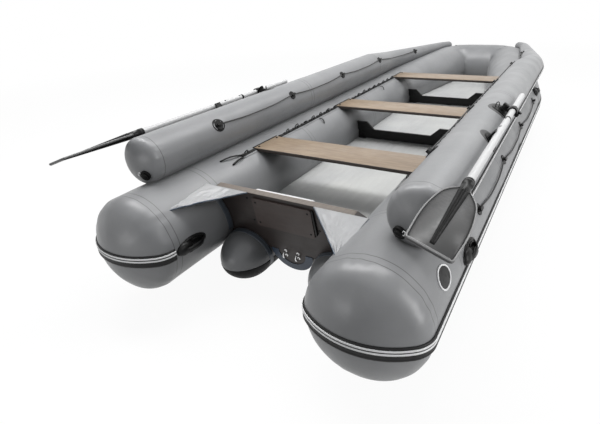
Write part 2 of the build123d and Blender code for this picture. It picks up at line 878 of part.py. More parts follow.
def line_route(frame_at, stations, lean, sag, side):
    """The line's corners: straight through each holder and sagging a little between them."""
    points = []
    for number, distance in enumerate(stations):
        points += holder_run(frame_at, distance, lean, side)
        if number + 1 < len(stations):
            gap = stations[number + 1] - distance
            for share in (0.3, 0.7):
                between = frame_at(distance + gap * share)
                points.append(surface_place(between, lean - sag, line_clearance, side)[0])
    return points


def grab_line(points):
    """A round line along straight runs and tangent arcs as large as the runs allow."""
    radii = []
    for before, corner, after in zip(points, points[1:], points[2:]):
        turn = radians((corner - before).get_angle(after - corner))
        shorter = min((corner - before).length, (after - corner).length)
        radii.append(min(0.45 * shorter / tan(turn / 2), 4000.0))
    with BuildPart() as line:
        with BuildLine() as route:
            FilletPolyline(*points, radius=radii)
        path = route.wire()
        with BuildSketch(Plane(origin=path @ 0, z_dir=path % 0)) as section:
            Circle(line_diameter / 2)
        sweep(sections=section.sketch, path=path)
    return line.part


upper_clear = upper_tube_body(SEAT_GAP)
with BuildPart() as holders:
    for distance in inner_line_stations:
        add(holder(upper_frame, distance, inner_line_lean, -1, upper_clear))
    for distance in outer_line_stations:
        add(holder(main_frame, distance, outer_line_lean, 1, main_clear))
keep_both("line_holders", holders.part)

inner_points = line_route(
    upper_frame, inner_line_stations, inner_line_lean, inner_line_sag, -1
)
keep_both("grab_line_inner", grab_line(inner_points))
outer_points = line_route(
    main_frame, outer_line_stations, outer_line_lean, outer_line_sag, 1
)
keep_both("grab_line_outer", grab_line(outer_points))

# ---------------------------------------------------------------- rowlocks, clips and oars
pin_up = Vector(cos(radians(pin_lean)), 0, sin(radians(pin_lean)))
pin_out = Vector(sin(radians(pin_lean)), 0, -cos(radians(pin_lean)))
pin_seat = Vector(upper_half_spacing, station(pin_station), upper_axis) + pin_up * upper_radius
pin_plane = Plane(origin=pin_seat, x_dir=pin_out, z_dir=pin_up)
oar_axis = pin_seat + pin_out * oar_offset + pin_up * oar_height
patch_outer = upper_tube_body(rowlock_patch)

pin_top = rowlock_post + 2 * fork_gap + fork_thickness
with BuildPart() as rowlock_base:
    with BuildSketch(pin_plane.offset(-40)):
        Circle(rowlock_patch_radius)
    extrude(amount=80)
    add(patch_outer, mode=Mode.INTERSECT)
    with BuildSketch(pin_plane):
        Circle(rowlock_post_radius)
    extrude(amount=rowlock_post)
    with BuildSketch(pin_plane):
        Circle(pin_diameter / 2)
    extrude(amount=pin_top)
    with BuildSketch(pin_plane.offset(pin_top)):
        Circle(knob_radius)
    extrude(amount=knob_height)
    add(upper_clear, mode=Mode.SUBTRACT)
keep_both("rowlock_base", rowlock_base.part)

clamp_radius = oar_diameter / 2 + clamp_wall
along_oar = Plane(origin=oar_axis - Vector(0, clamp_length / 2, 0), x_dir=pin_out, z_dir=(0, 1, 0))
with BuildPart() as fork:
    with BuildSketch(pin_plane.offset(rowlock_post + fork_gap)):
        Circle(fork_width / 2)
        with Locations((oar_offset / 2, 0)):
            Rectangle(oar_offset, fork_width)
    extrude(amount=fork_thickness)
    with BuildSketch(along_oar):
        Circle(clamp_radius)
        with Locations((clamp_radius - 2, 0)):
            Rectangle(lug_length, lug_length, align=(Align.MIN, Align.CENTER))
    extrude(amount=clamp_length)
    with BuildSketch(along_oar):
        Circle(oar_diameter / 2 + clamp_play)
    extrude(amount=clamp_length, both=True, mode=Mode.SUBTRACT)
    with BuildSketch(pin_plane):
        Circle(pin_diameter / 2 + pin_play)
    extrude(amount=pin_top, mode=Mode.SUBTRACT)
keep_both("rowlock_fork", fork.part)

clip_origin = Vector(pin_seat.X, station(clip_station), pin_seat.Z)
clip_plane = Plane(origin=clip_origin, x_dir=pin_out, z_dir=pin_up)
seat_height = oar_height - oar_diameter / 2 - clip_play
wall_end = oar_offset - oar_diameter / 2 - clip_play
with BuildPart() as clip:
    with BuildSketch(clip_plane.offset(-50)):
        with Locations((oar_offset, 0)):
            Circle(clip_patch_radius)
    extrude(amount=100)
    add(upper_tube_body(rowlock_patch), mode=Mode.INTERSECT)
    section_plane = Plane(
        origin=clip_origin - Vector(0, clip_length / 2, 0), x_dir=pin_out, z_dir=(0, 1, 0)
    )
    with BuildSketch(section_plane):
        with BuildLine():
            Polyline(
                (wall_end - clip_wall, 30),
                (wall_end - clip_wall, -oar_height - 8),
                (wall_end, -oar_height - 8),
                (wall_end, -seat_height),
                (oar_offset + oar_diameter / 2, -seat_height),
                (oar_offset + oar_diameter / 2, 30),
                close=True,
            )
        make_face()
    extrude(amount=clip_length)
    add(upper_clear, mode=Mode.SUBTRACT)
keep_both("oar_clip", clip.part)

with BuildPart() as upper_strake:
    upper_end = Plane(
        origin=(upper_half_spacing, station(upper_cap_station), upper_axis),
        x_dir=(1, 0, 0),
        z_dir=(0, 1, 0),
    )
    with BuildSketch(upper_end):
        add(strake_profile(upper_radius, upper_strake_width, SEAT_GAP, upper_strake_thickness))
    extrude(amount=upper_taper_station - upper_cap_station)
    strake_sections = 8
    sketches = []
    for number in range(strake_sections + 1):
        share = number / strake_sections
        distance = upper_taper_station + (upper_strake_end - upper_taper_station) * share
        centre, outward, upward, along, radius = upper_frame(distance)
        with BuildSketch(Plane(origin=centre, x_dir=outward, z_dir=along)) as section:
            add(strake_profile(radius, upper_strake_width, SEAT_GAP, upper_strake_thickness))
        sketches.append(section.sketch)
    loft(sections=sketches, ruled=True)
    add(upper_body, mode=Mode.SUBTRACT)
    add(clip.part, mode=Mode.SUBTRACT)
keep_both("upper_strake", upper_strake.part)

shaft_start = blade_shoulder_station + 2.0  # inside the blade's socket
with BuildPart() as shaft:
    with BuildSketch(
        Plane(
            origin=(oar_axis.X, station(shaft_start), oar_axis.Z), x_dir=(1, 0, 0), z_dir=(0, 1, 0)
        )
    ):
        Circle(oar_diameter / 2)
    extrude(amount=oar_handle_station - shaft_start)
    fillet(shaft.edges().group_by(Axis.Y)[-1], 6)
keep_both("oar_shaft", shaft.part)

blade_plane = Plane(
    origin=(oar_axis.X, 0, oar_axis.Z),
    x_dir=(cos(radians(blade_roll)), 0, -sin(radians(blade_roll))),
    z_dir=(sin(radians(blade_roll)), 0, cos(radians(blade_roll))),
)
with BuildSketch() as blade_outline:
    with BuildLine():
        tip = station(blade_tip_station)
        wide = station(blade_wide_station)
        neck = station(blade_neck_station)
        top = station(blade_shoulder_station)
        Line((-blade_tip_half_width, tip), (blade_tip_half_width, tip))
        for side in (-1, 1):
            Polyline(
                (side * blade_tip_half_width, tip),
                (side * blade_half_width, wide),
                (side * blade_neck_half_width, neck),
                (side * blade_shoulder_half_width, top),
            )
        Line((-blade_shoulder_half_width, top), (blade_shoulder_half_width, top))
    make_face()
    fillet(blade_outline.vertices().sort_by(Axis.Y)[:2], 14)
    fillet(blade_outline.vertices().sort_by(Axis.Y)[4:6], 90)
    fillet(blade_outline.vertices().sort_by(Axis.Y)[8:10], 60)
with BuildSketch() as blade_inside:
    add(blade_outline.sketch)
    offset(amount=-blade_rim_width)
with BuildPart() as blade:
    with BuildSketch(blade_plane):
        add(blade_outline.sketch)
    extrude(amount=blade_thickness / 2, both=True)
    with BuildSketch(blade_plane):
        add(blade_outline.sketch)
        add(blade_inside.sketch, mode=Mode.SUBTRACT)
    extrude(amount=blade_rim_thickness / 2, both=True)
    spine = Plane(origin=(oar_axis.X, 0, oar_axis.Z), x_dir=(0, 1, 0), z_dir=(1, 0, 0))
    with BuildSketch(spine):
        with BuildLine():
            bore = oar_diameter / 2 + clamp_play
            Polyline(
                (station(blade_rib_station), 0),
                (station(blade_rib_station), blade_rib_tip_radius),
                (station(blade_shoulder_station), oar_socket_diameter / 2),
                (station(oar_socket_station), oar_socket_diameter / 2),
                (station(oar_socket_station), bore),
                (station(shaft_start) - clamp_play, bore),
                (station(shaft_start) - clamp_play, 0),
                close=True,
            )
        make_face()
    revolve(axis=Axis(oar_axis, (0, 1, 0)))
keep_both("oar_blade", blade.part)

print("middle", round(middle, 3), "keel_half_spacing", round(keel_half_spacing, 2))
print("pin seat", pin_seat, "axis", pin_up, "oar axis", oar_axis)
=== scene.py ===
"""Inflatable boat with doubled side tubes, twin keels, benches and stowed oars.

Metres, +X to starboard, +Y to the bow, +Z up, origin on the ground under the boat's middle.
Stations are distances forward of a datum a little aft of the transom, turned into Y by station().
"""

from math import atan2, ceil, cos, exp, pi, radians, sin, tan

import bmesh
import bpy
from mathutils import Matrix, Vector, noise


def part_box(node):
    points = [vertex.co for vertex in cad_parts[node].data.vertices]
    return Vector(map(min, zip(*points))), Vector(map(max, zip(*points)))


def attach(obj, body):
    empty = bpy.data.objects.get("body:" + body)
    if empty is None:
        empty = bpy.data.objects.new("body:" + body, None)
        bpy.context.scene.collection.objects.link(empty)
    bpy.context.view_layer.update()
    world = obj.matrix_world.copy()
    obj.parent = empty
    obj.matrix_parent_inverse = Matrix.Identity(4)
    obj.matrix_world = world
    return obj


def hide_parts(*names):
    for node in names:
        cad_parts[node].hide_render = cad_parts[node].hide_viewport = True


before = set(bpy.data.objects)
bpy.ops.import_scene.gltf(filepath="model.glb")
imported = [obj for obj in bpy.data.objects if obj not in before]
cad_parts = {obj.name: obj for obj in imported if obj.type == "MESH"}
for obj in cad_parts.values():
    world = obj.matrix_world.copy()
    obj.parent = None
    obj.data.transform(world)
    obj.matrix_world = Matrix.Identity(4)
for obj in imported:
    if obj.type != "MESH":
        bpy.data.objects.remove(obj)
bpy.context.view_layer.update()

SIDES = {"starboard": 1, "port": -1}
UP = Vector((0, 0, 1))
FORWARD = Vector((0, 1, 0))

# ---------------------------------------------------------------- sizes, in metres
main_low, main_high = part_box("main_tube_starboard")
main_radius = (main_high.z - main_low.z) / 2
main_axis = (main_high.z + main_low.z) / 2
main_spacing = main_high.x - main_radius
main_cap = 0.1626  # length of the rounded stern end
bow_joint = 3.3  # the station where the side tube meets the bow piece
middle = bow_joint - main_high.y
main_seams = (0.24, 1.25, 2.3, bow_joint)
main_waists = (1.93, 3.235)  # where the skin is drawn in a little
stern_band = 0.021  # the stern seam's band lies this far forward of the rounded end
bow_bend = (3.48, 1.5)  # station and radius
bow_corner = (main_spacing - 0.2625, 5.02, main_axis + 0.075)  # x, station, z
nose_bend = main_radius + 0.012  # radius of the bend at that corner

upper_radius = 0.1245
upper_reach = main_radius + upper_radius - 0.0137  # from the main axis to the upper axis
upper_lean = (73.1, 62.0)  # degrees, along the straight tube and at the tip
upper_ends = (0.051, 3.0, 4.93)  # cap seam, start of the taper, tip
upper_cap = 0.0695
upper_tip_radius = 0.045
upper_seams = (1.6, 3.0)
taper_seam = 3.95

keel_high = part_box("keel_tube_starboard")[1]
keel_radius = 0.14
keel_cap = 0.178
keel_ends = (0.255, 3.3, 4.74)  # cap seam, start of the rise, tip
keel_start = (keel_high.x - keel_radius, keel_radius, keel_radius)  # x, z, radius
keel_tip = (0.15, 0.22, 0.06)
shoe_top = 0.122  # the rubbing strips wrap the keels up to this height
shoe_end = 3.1  # and reach forward to this station

rake = radians(12.4)
transom_top = main_axis + 0.199
transom_station = 0.202

BENCHES = ("aft", "middle", "forward")
RIBS = ("aft", "forward")
rail_lean = 64  # degrees up from the side tube's inner side
pin_station = 1.235  # the rowlock's pin
clip_station = 0.78  # the clip that the stowed oar lies in
oar_roll = radians(20)  # how far the stowed blade's outboard edge is turned down


def station(distance):
    """Y of a station, which is a distance forward of the datum."""
    return distance - middle


# ---------------------------------------------------------------- finishes
class Finish:
    """A material under construction: each method adds nodes and gives the socket to use next."""

    def __init__(self, name):
        self.material = bpy.data.materials.new(name)
        self.material.use_nodes = True
        self.tree = self.material.node_tree
        self.shader = self.tree.nodes["Principled BSDF"]
        self.place = self.add("ShaderNodeTexCoord").outputs["Object"]

    def put(self, value, socket):
        """Links a node's output to a socket, or writes a plain value into it."""
        if isinstance(value, bpy.types.NodeSocket):
            self.tree.links.new(value, socket)
        else:
            socket.default_value = value

    def add(self, kind, inputs=None, **settings):
        """Adds a node, sets it up and fills its inputs."""
        node = self.tree.nodes.new(kind)
        for key, value in settings.items():
            setattr(node, key, value)
        for key, value in (inputs or {}).items():
            self.put(value, node.inputs[key])
        return node

    def stretched(self, scale, source=None):
        """Coordinates scaled differently along each axis."""
        mapping = self.add("ShaderNodeMapping", {"Vector": source or self.place, "Scale": scale})
        return mapping.outputs["Vector"]

    def noise(self, scale, detail=3.0, roughness=0.55, place=None):
        """A cloudy pattern from 0 to 1."""
        inputs = {"Vector": place or self.place, "Scale": scale, "Detail": detail}
        inputs["Roughness"] = roughness
        return self.add("ShaderNodeTexNoise", inputs).outputs["Fac"]

    def wave(self, scale, place=None, distortion=0.0, direction="X"):
        """Bands from 0 to 1 across one direction."""
        inputs = {"Vector": place or self.place, "Scale": scale, "Distortion": distortion}
        node = self.add("ShaderNodeTexWave", inputs, bands_direction=direction)
        return node.outputs["Fac"]

    def span(self, source, low, high, new_low=0.0, new_high=1.0):
        """Maps a range of a value onto another range, clamped."""
        inputs = {"Value": source, "From Min": low, "From Max": high}
        inputs.update({"To Min": new_low, "To Max": new_high})
        return self.add("ShaderNodeMapRange", inputs).outputs["Result"]

    def math(self, operation, first, second=0.0):
        """One sum on two values."""
        return self.add("ShaderNodeMath", {0: first, 1: second}, operation=operation).outputs[0]

    def blend(self, factor, first, second):
        """Mixes two colours."""
        colors = {0: factor, 6: first, 7: second}
        return self.add("ShaderNodeMix", colors, data_type="RGBA").outputs[2]

    def bump(self, height, strength, distance=0.001, under=None):
        """Raises the surface by a pattern, over another bump if one is given."""
        inputs = {"Height": height, "Strength": strength, "Distance": distance}
        if under is not None:
            inputs["Normal"] = under
        return self.add("ShaderNodeBump", inputs).outputs["Normal"]

    def attribute(self, name):
        """A value that the mesh carries."""
        return self.add("ShaderNodeAttribute", attribute_name=name).outputs["Fac"]

    def finish(self, color=None, roughness=None, normal=None, **sockets):
        """Fills the shader's sockets and gives the material."""
        for key, value in (("Base Color", color), ("Roughness", roughness), ("Normal", normal)):
            if value is not None:
                self.put(value, self.shader.inputs[key])
        for key, value in sockets.items():
            self.shader.inputs[key.replace("_", " ")].default_value = value
        return self.material


def grey(level, tint=(1.0, 1.0, 1.0)):
    """A grey of a level, leaning towards a tint."""
    return (level * tint[0], level * tint[1], level * tint[2], 1.0)


def coated_fabric(name, light, dark, shine=0.36, weave=0.12):
    """Coated boat fabric: soft cloudy tone, a fine woven grain and dark seam lines, glue lines with painted
    shade at the tape edges.
    """
    made = Finish(name)
    clouds = made.noise(2.2, 4.0)
    color = made.blend(made.span(clouds, 0.3, 0.7), dark, light)
    smears = made.noise(7.0, 5.0, 0.6, made.stretched((1.0, 0.18, 1.0)))
    color = made.blend(made.span(smears, 0.45, 0.8, 0.0, 0.22), color, grey(dark[0] * 0.72))
    # The seam attribute darkens a thin line at each edge of every seam tape: partly the glue line, partly
    # painted shade of the tape's raised edge.
    seam = made.attribute("seam")
    color = made.blend(made.span(seam, 0.1, 1.0, 0.0, 0.8), color, grey(dark[0] * 0.3))
    rough = made.span(made.noise(5.5, 4.0), 0.3, 0.75, shine - 0.05, shine + 0.12)
    threads = made.math("ADD", made.wave(320.0), made.wave(320.0, direction="Y"))
    threads = made.math("ADD", threads, made.wave(320.0, direction="Z"))
    normal = made.bump(threads, weave, 0.0002)
    ripples = made.noise(16.0, 2.0)
    normal = made.bump(ripples, 0.1, 0.004, normal)
    return made.finish(color, rough, normal, Specular_IOR_Level=0.5, Sheen_Weight=0.08)


def moulded(name, color, rough=0.45, grain=0.25, scale=420.0, worn=0.12, shine=0.45):
    """Moulded plastic or rubber with a fine grain and slightly paler rubbed places."""
    made = Finish(name)
    patches = made.noise(26.0, 4.0)
    pale = tuple(min(1.0, part + worn) for part in color[:3]) + (1.0,)
    shade = made.blend(made.span(patches, 0.5, 0.85, 0.0, 0.35), color, pale)
    roughness = made.span(made.noise(60.0), 0.3, 0.7, rough - 0.08, rough + 0.1)
    normal = made.bump(made.noise(scale, 2.0), grain, 0.0002)
    return made.finish(shade, roughness, normal, Specular_IOR_Level=shine)


def film_faced(name, light, dark, rough=0.32):
    """Film-faced plywood: a smooth resin film over long faint grain and darker clouds."""
    made = Finish(name)
    grain = made.noise(9.0, 5.0, 0.65, made.stretched((1.0, 7.0, 7.0)))
    color = made.blend(made.span(grain, 0.35, 0.7), dark, light)
    streaks = made.noise(30.0, 3.0, 0.6, made.stretched((0.6, 9.0, 9.0)))
    color = made.blend(made.span(streaks, 0.30, 0.70, 0.0, 0.10), color, dark)
    depth = made.noise(1.6, 2.0)
    color = made.blend(made.span(depth, 0.38, 0.62, 0.0, 0.4), color, dark)
    roughness = made.span(made.noise(14.0, 4.0), 0.3, 0.7, rough - 0.06, rough + 0.1)
    normal = made.bump(made.noise(18.0, 2.0), 0.04, 0.0015)
    return made.finish(color, roughness, normal, Specular_IOR_Level=0.4)


def plywood_edge(name, light, dark):
    """The sawn edge of plywood: thin layers, stained dark."""
    made = Finish(name)
    layers = made.wave(170.0, direction="Z", distortion=0.6)
    color = made.blend(made.span(layers, 0.3, 0.7), dark, light)
    fibres = made.noise(120.0, 3.0, 0.6, made.stretched((0.2, 0.2, 3.0)))
    color = made.blend(made.span(fibres, 0.5, 0.8, 0.0, 0.4), color, dark)
    return made.finish(color, 0.6, made.bump(layers, 0.3, 0.0006))


def metal(name, color, rough=0.18):
    """Polished metal with faint scratches."""
    made = Finish(name)
    scratches = made.noise(90.0, 6.0, 0.7, made.stretched((1.0, 1.0, 12.0)))
    roughness = made.span(scratches, 0.3, 0.8, rough, rough + 0.2)
    shade = made.blend(made.span(made.noise(30.0), 0.4, 0.8, 0.0, 0.25), color, grey(color[0] * 0.6))
    return made.finish(shade, roughness, made.bump(scratches, 0.05, 0.0002), Metallic=1.0)


def painted(name, color, rough=0.36):
    """Painted tube: even gloss with rubbed and slightly dirty stretches."""
    made = Finish(name)
    rubs = made.noise(6.0, 3.0, 0.5, made.stretched((1.0, 0.4, 1.0)))
    shade = made.blend(made.span(rubs, 0.45, 0.8, 0.0, 0.15), color, grey(color[0] * 0.75))
    roughness = made.span(made.noise(12.0), 0.3, 0.7, rough, rough + 0.05)
    normal = made.bump(made.noise(25.0, 2.0), 0.015, 0.0002)
    return made.finish(shade, roughness, normal, Coat_Weight=0.1)


def braided(name, color):
    """A braided rope: crossing strands, with painted shade darkening the grooves between them."""
    made = Finish(name)
    across = made.add("ShaderNodeMapping", {"Vector": made.place, "Rotation": (0.6, 0.5, 0.9)})
    strands = made.wave(130.0, across.outputs["Vector"])
    back = made.add("ShaderNodeMapping", {"Vector": made.place, "Rotation": (-0.6, -0.5, -0.9)})
    strands = made.math("MULTIPLY", strands, made.wave(130.0, back.outputs["Vector"]))
    # The grooves between the strands are painted darker: painted shade in the recesses.
    shade = made.blend(made.span(strands, 0.1, 0.8), grey(color[0] * 0.4), color)
    return made.finish(shade, 0.75, made.bump(strands, 0.6, 0.0012), Sheen_Weight=0.2)


TUBE = coated_fabric("boat_fabric", grey(0.222, (0.99, 1.0, 1.02)), grey(0.178, (0.98, 1.0, 1.03)))
FLOOR = coated_fabric("floor_fabric", grey(0.46, (1.0, 1.01, 0.98)), grey(0.34, (0.99, 1.0, 1.01)), 0.42, 0.3)
WEB = coated_fabric("web_fabric", grey(0.38, (1.0, 1.0, 1.01)), grey(0.27, (0.98, 1.0, 1.03)), 0.4, 0.25)
COLLAR = coated_fabric("collar_fabric", (0.100, 0.117, 0.140, 1), (0.071, 0.086, 0.107, 1))
NAVY = coated_fabric("dark_blue_fabric", (0.037, 0.064, 0.107, 1), (0.020, 0.037, 0.064, 1), 0.35, 0.25)
RUBBER = moulded("black_rubber", grey(0.006), 0.5, 0.15, 200.0, 0.006, 0.16)
PLASTIC = moulded("black_plastic", grey(0.005), 0.38, 0.1, 200.0, 0.006, 0.18)
STRAKE = moulded("strake_rubber", grey(0.010), 0.5, 0.2, 160.0, 0.010, 0.22)
STRIPE = moulded("white_stripe", grey(0.82), 0.45, 0.08, 120.0, 0.02)
PATCH = moulded("patch_rubber", grey(0.060), 0.45, 0.1, 120.0, 0.015, 0.25)
BENCH = film_faced("bench_film", (0.325, 0.254, 0.178, 1), (0.190, 0.138, 0.095, 1), 0.34)
EDGE = plywood_edge("ply_edge", (0.058, 0.044, 0.036, 1), (0.021, 0.016, 0.013, 1))
BOARD = film_faced("transom_film", (0.038, 0.027, 0.023, 1), (0.020, 0.015, 0.014, 1), 0.4)
BOARD_TOP = plywood_edge("transom_top", (0.171, 0.143, 0.118, 1), (0.086, 0.069, 0.057, 1))
PAD = film_faced("pad_film", (0.060, 0.041, 0.036, 1), (0.043, 0.030, 0.026, 1), 0.4)
PALE_PAD = moulded("pale_pad", grey(0.58), 0.4, 0.25, 300.0, 0.05)
CHROME = metal("bright_steel", grey(0.72))
WHITE = painted("white_tube", grey(0.50))
BLADE = moulded("blade_plastic", grey(0.072), 0.38, 0.06, 90.0, 0.012, 0.3)
ROPE = braided("dark_rope", grey(0.02))
SHOE = moulded("keel_shoe_rubber", grey(0.006), 0.55, 0.5, 120.0, 0.008, 0.10)
# The blade's rim and tip lip are painted paler than the blade: a painted highlight along its edges.
EDGE_HIGHLIGHT = moulded("blade_lip", grey(0.18), 0.32, 0.06, 90.0, 0.02)
SOCKET = moulded("socket_plastic", grey(0.012), 0.32, 0.06, 120.0, 0.008, 0.18)
BLADE_RIB = moulded("blade_rib_plastic", grey(0.004), 0.5, 0.1, 160.0, 0.004, 0.1)
BADGE = moulded("badge_face", grey(0.006), 0.35, 0.08, 200.0, 0.006, 0.2)
RIB = moulded("rib_rubber", grey(0.008), 0.45, 0.15, 160.0, 0.008, 0.25)


# ---------------------------------------------------------------- making meshes
def give(mesh, name, material, body="hull", smooth=True, stands_for=(), slot=None):
    """Turns a bmesh into a finished piece that rides on a body."""
    mesh.normal_update()
    data = bpy.data.meshes.new(name)
    mesh.to_mesh(data)
    mesh.free()
    for face in data.polygons:
        face.use_smooth = smooth
    piece = bpy.data.objects.new(name, data)
    bpy.context.scene.collection.objects.link(piece)
    materials = material if isinstance(material, (list, tuple)) else [material]
    for one in materials:
        data.materials.append(one)
    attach(piece, body)
    if stands_for:
        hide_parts(*stands_for)
    return piece


def basis(centre, outward, upward, along, scale=1.0):
    """A matrix whose X, Y and Z run outward, upward and along, placed at centre."""
    columns = [Vector(outward) * scale, Vector(upward) * scale, Vector(along), Vector(centre)]
    matrix = Matrix.Identity(4)
    for number, column in enumerate(columns):
        for row in range(3):
            matrix[row][number] = column[row]
    return matrix


def open_edges(edges):
    """The edges with a face on one side only."""
    return [edge for edge in edges if edge.is_boundary]


def verts_in(geometry):
    """The vertices in an operator's result."""
    return [item for item in geometry if isinstance(item, bmesh.types.BMVert)]


def verts_of(parts):
    """The vertices of edges or faces, each once, in the order in which they are met."""
    return list(dict.fromkeys(vertex for part in parts for vertex in part.verts))


def turned(mesh, matrix):
    """Moves a whole mesh by a matrix."""
    bmesh.ops.transform(mesh, matrix=matrix, verts=mesh.verts)
    return mesh


def cut_along(mesh, place, away, clear_outer=False):
    """Cuts a mesh's faces along a plane, dropping what lies beyond it if asked."""
    everything = mesh.verts[:] + mesh.edges[:] + mesh.faces[:]
    bmesh.ops.bisect_plane(
        mesh, geom=everything, plane_co=place, plane_no=away, dist=1e-6, clear_outer=clear_outer
    )


def oval(across, along, height, count):
    """Points round an oval that lies flat at a height."""
    angles = [2 * pi * number / count for number in range(count)]
    return [(across * cos(angle), along * sin(angle), height) for angle in angles]


def loft(mesh, edges, matrices):
    """Extrudes a loop of edges that stands at matrices[0] through the others in turn."""
    rings = [verts_of(edges)]
    for before, after in zip(matrices, matrices[1:]):
        made = bmesh.ops.extrude_edge_only(mesh, edges=edges)["geom"]
        verts = verts_in(made)
        edges = open_edges(item for item in made if isinstance(item, bmesh.types.BMEdge))
        bmesh.ops.transform(mesh, matrix=after @ before.inverted(), verts=verts)
        rings.append(verts)
    return edges, rings


def close_pole(mesh, edges, centre):
    """Closes a loop with faces that meet at a point."""
    made = bmesh.ops.extrude_edge_only(mesh, edges=edges)["geom"]
    bmesh.ops.pointmerge(mesh, verts=verts_in(made), merge_co=centre)


def wrinkle(distance, angle, seams, seed):
    """How far a tube's skin stands in or out near its seams, in metres.

    Each seam is (distance, height of its creases, how far they reach, creases round the tube).
    """
    total = 0.0
    for where, height, reach, count in seams:
        near = exp(-(((distance - where) / reach) ** 2))
        wander = noise.noise(Vector((cos(angle) * 1.7, sin(angle) * 1.7, where * 3.1 + seed)))
        wobble = sin(angle * count + 6.0 * wander + seed) * (0.55 + 0.9 * wander)
        total += height * near * wobble
    return total


def tube_skin(name, rings, segments=96, seams=(), seed=0.0, close_start=True, close_end=False,
              waists=(), **kept):
    """A smooth tube through rings of (distance, centre, outward, upward, along, radius, seam)."""
    mesh = bmesh.new()
    shade = mesh.verts.layers.float.new("seam")
    matrices = [basis(*ring[1:5], scale=ring[5]) for ring in rings]
    made = bmesh.ops.create_circle(mesh, segments=segments, radius=1.0)
    bmesh.ops.transform(mesh, matrix=matrices[0], verts=made["verts"])
    start_edges = list(mesh.edges)
    end_edges, loops = loft(mesh, start_edges, matrices)
    for ring, verts in zip(rings, loops):
        distance, centre, outward, upward, along, radius, seam = ring
        for vertex in verts:
            away = vertex.co - Vector(centre)
            angle = atan2(away.dot(Vector(upward)), away.dot(Vector(outward)))
            swell = 0.0012 * noise.noise(vertex.co * 4.0) * min(1.0, radius / 0.1)
            swell += wrinkle(distance, angle, seams, seed) * min(1.0, radius / 0.06)
            swell -= sum(0.005 * exp(-(((distance - waist) / 0.05) ** 2)) for waist in waists)
            vertex.co += away.normalized() * swell
            # each ring's seam value darkens the fabric there: glue line with painted shade at the tape edge
            vertex[shade] = seam
    if close_start:
        close_pole(mesh, open_edges(start_edges), rings[0][1])
    if close_end:
        close_pole(mesh, end_edges, rings[-1][1])
    bmesh.ops.recalc_face_normals(mesh, faces=mesh.faces)
    return give(mesh, name, **kept)


def cap_profile(radius, length, steps=14):
    """(back from the seam, radius) of a rounded tube end, from its pole to its seam."""
    knuckle = length * (0.7 if length < radius else 1.12)
    crown = (length**2 + (radius - knuckle) ** 2 - knuckle**2) / (2 * (length - knuckle))
    turn = atan2(abs(radius - knuckle), abs(crown - length))
    points = []
    for step in range(1, steps + 1):
        angle = turn * step / steps
        points.append((length - crown + crown * cos(angle), crown * sin(angle)))
    for step in range(1, steps + 1):
        angle = turn + (pi / 2 - turn) * step / steps
        points.append((knuckle * cos(angle), radius - knuckle + knuckle * sin(angle)))
    return points


def spaced(start, end, spacing, seams=(), half_band=0.018):
    """(distance, shade) from start to end, with four close together at each edge of a seam's band."""
    count = max(1, ceil((end - start) / spacing))
    values = {round(start + (end - start) * number / count, 5): 0.0 for number in range(count + 1)}
    for seam in seams:
        for edge in (seam - half_band, seam + half_band):
            for step, shade in ((-0.0032, 0.0), (-0.0012, 1.0), (0.0012, 1.0), (0.0032, 0.0)):
                if start <= edge + step <= end:
                    values[round(edge + step, 5)] = shade
    return sorted(values.items())


def rounded_path(corners, radii, spacing=0.04):
    """Points along straight runs and tangent arcs through corners."""
    corners = [Vector(corner) for corner in corners]
    points = [corners[0]]

    def run_to(end):
        start = points[-1].copy()
        count = max(1, ceil((end - start).length / spacing))
        points.extend(start.lerp(end, number / count) for number in range(1, count + 1))

    for before, corner, after, radius in zip(corners, corners[1:], corners[2:], radii):
        arrive = (corner - before).normalized()
        leave = (after - corner).normalized()
        turn = arrive.angle(leave)
        start = corner - arrive * (radius * tan(turn / 2))
        run_to(start)
        axis = arrive.cross(leave).normalized()
        centre = start + axis.cross(arrive) * radius
        steps = 2 * max(3, ceil(turn * radius / spacing / 2))
        for step in range(1, steps + 1):
            turned = Matrix.Rotation(turn * step / steps, 3, axis) @ (start - centre)
            points.append(centre + turned)
    run_to(corners[-1])
    return points


def frames(points):
    """(distance, place, outward, upward, along) for each point of a path."""
    result = []
    distance = 0.0
    for number, place in enumerate(points):
        before = points[max(0, number - 1)]
        after = points[min(len(points) - 1, number + 1)]
        along = (after - before).normalized()
        outward = along.cross(UP).normalized()
        if number:
            distance += (place - points[number - 1]).length
        result.append((distance, place, outward, outward.cross(along).normalized(), along))
    return result


def mirrored(ring, side):
    """The same ring on the other side of the boat when side is -1."""
    distance, centre, outward, upward, along, *rest = ring
    flip = Vector((side, 1, 1))
    return (distance, *(Vector(item) * flip for item in (centre, outward, upward, along)), *rest)


# the main axis from the stern seam to the middle of the nose, starboard side
stern_seam = station(-0.1704)
main_points = rounded_path(
    [
        (main_spacing, stern_seam, main_axis),
        (main_spacing, station(bow_bend[0]), main_axis),
        (bow_corner[0], station(bow_corner[1]), bow_corner[2]),
        (0, station(bow_corner[1]), bow_corner[2]),
    ],
    [bow_bend[1], nose_bend],
)
main_frames = frames(main_points)


def main_at(distance):
    """The main axis's frame at a station, between the sampled points."""
    y = station(distance)
    for first, second in zip(main_frames, main_frames[1:]):
        if first[1].y <= y <= second[1].y:
            share = (y - first[1].y) / max(1e-9, second[1].y - first[1].y)
            return tuple(a.lerp(b, share) for a, b in zip(first[1:], second[1:]))
    return main_frames[0][1:]


def upper_at(distance):
    """Centre, outward, upward, along and radius of the upper tube at a station."""
    place, outward, upward, along = main_at(distance)
    share = max(0.0, (distance - upper_ends[1]) / (upper_ends[2] - upper_ends[1]))
    radius = upper_radius + (upper_tip_radius - upper_radius) * share
    lean = radians(upper_lean[0] + (upper_lean[1] - upper_lean[0]) * share)
    reach = upper_reach + radius - upper_radius
    centre = place + outward * (reach * cos(lean)) + upward * (reach * sin(lean))
    return centre, outward, upward, along, radius


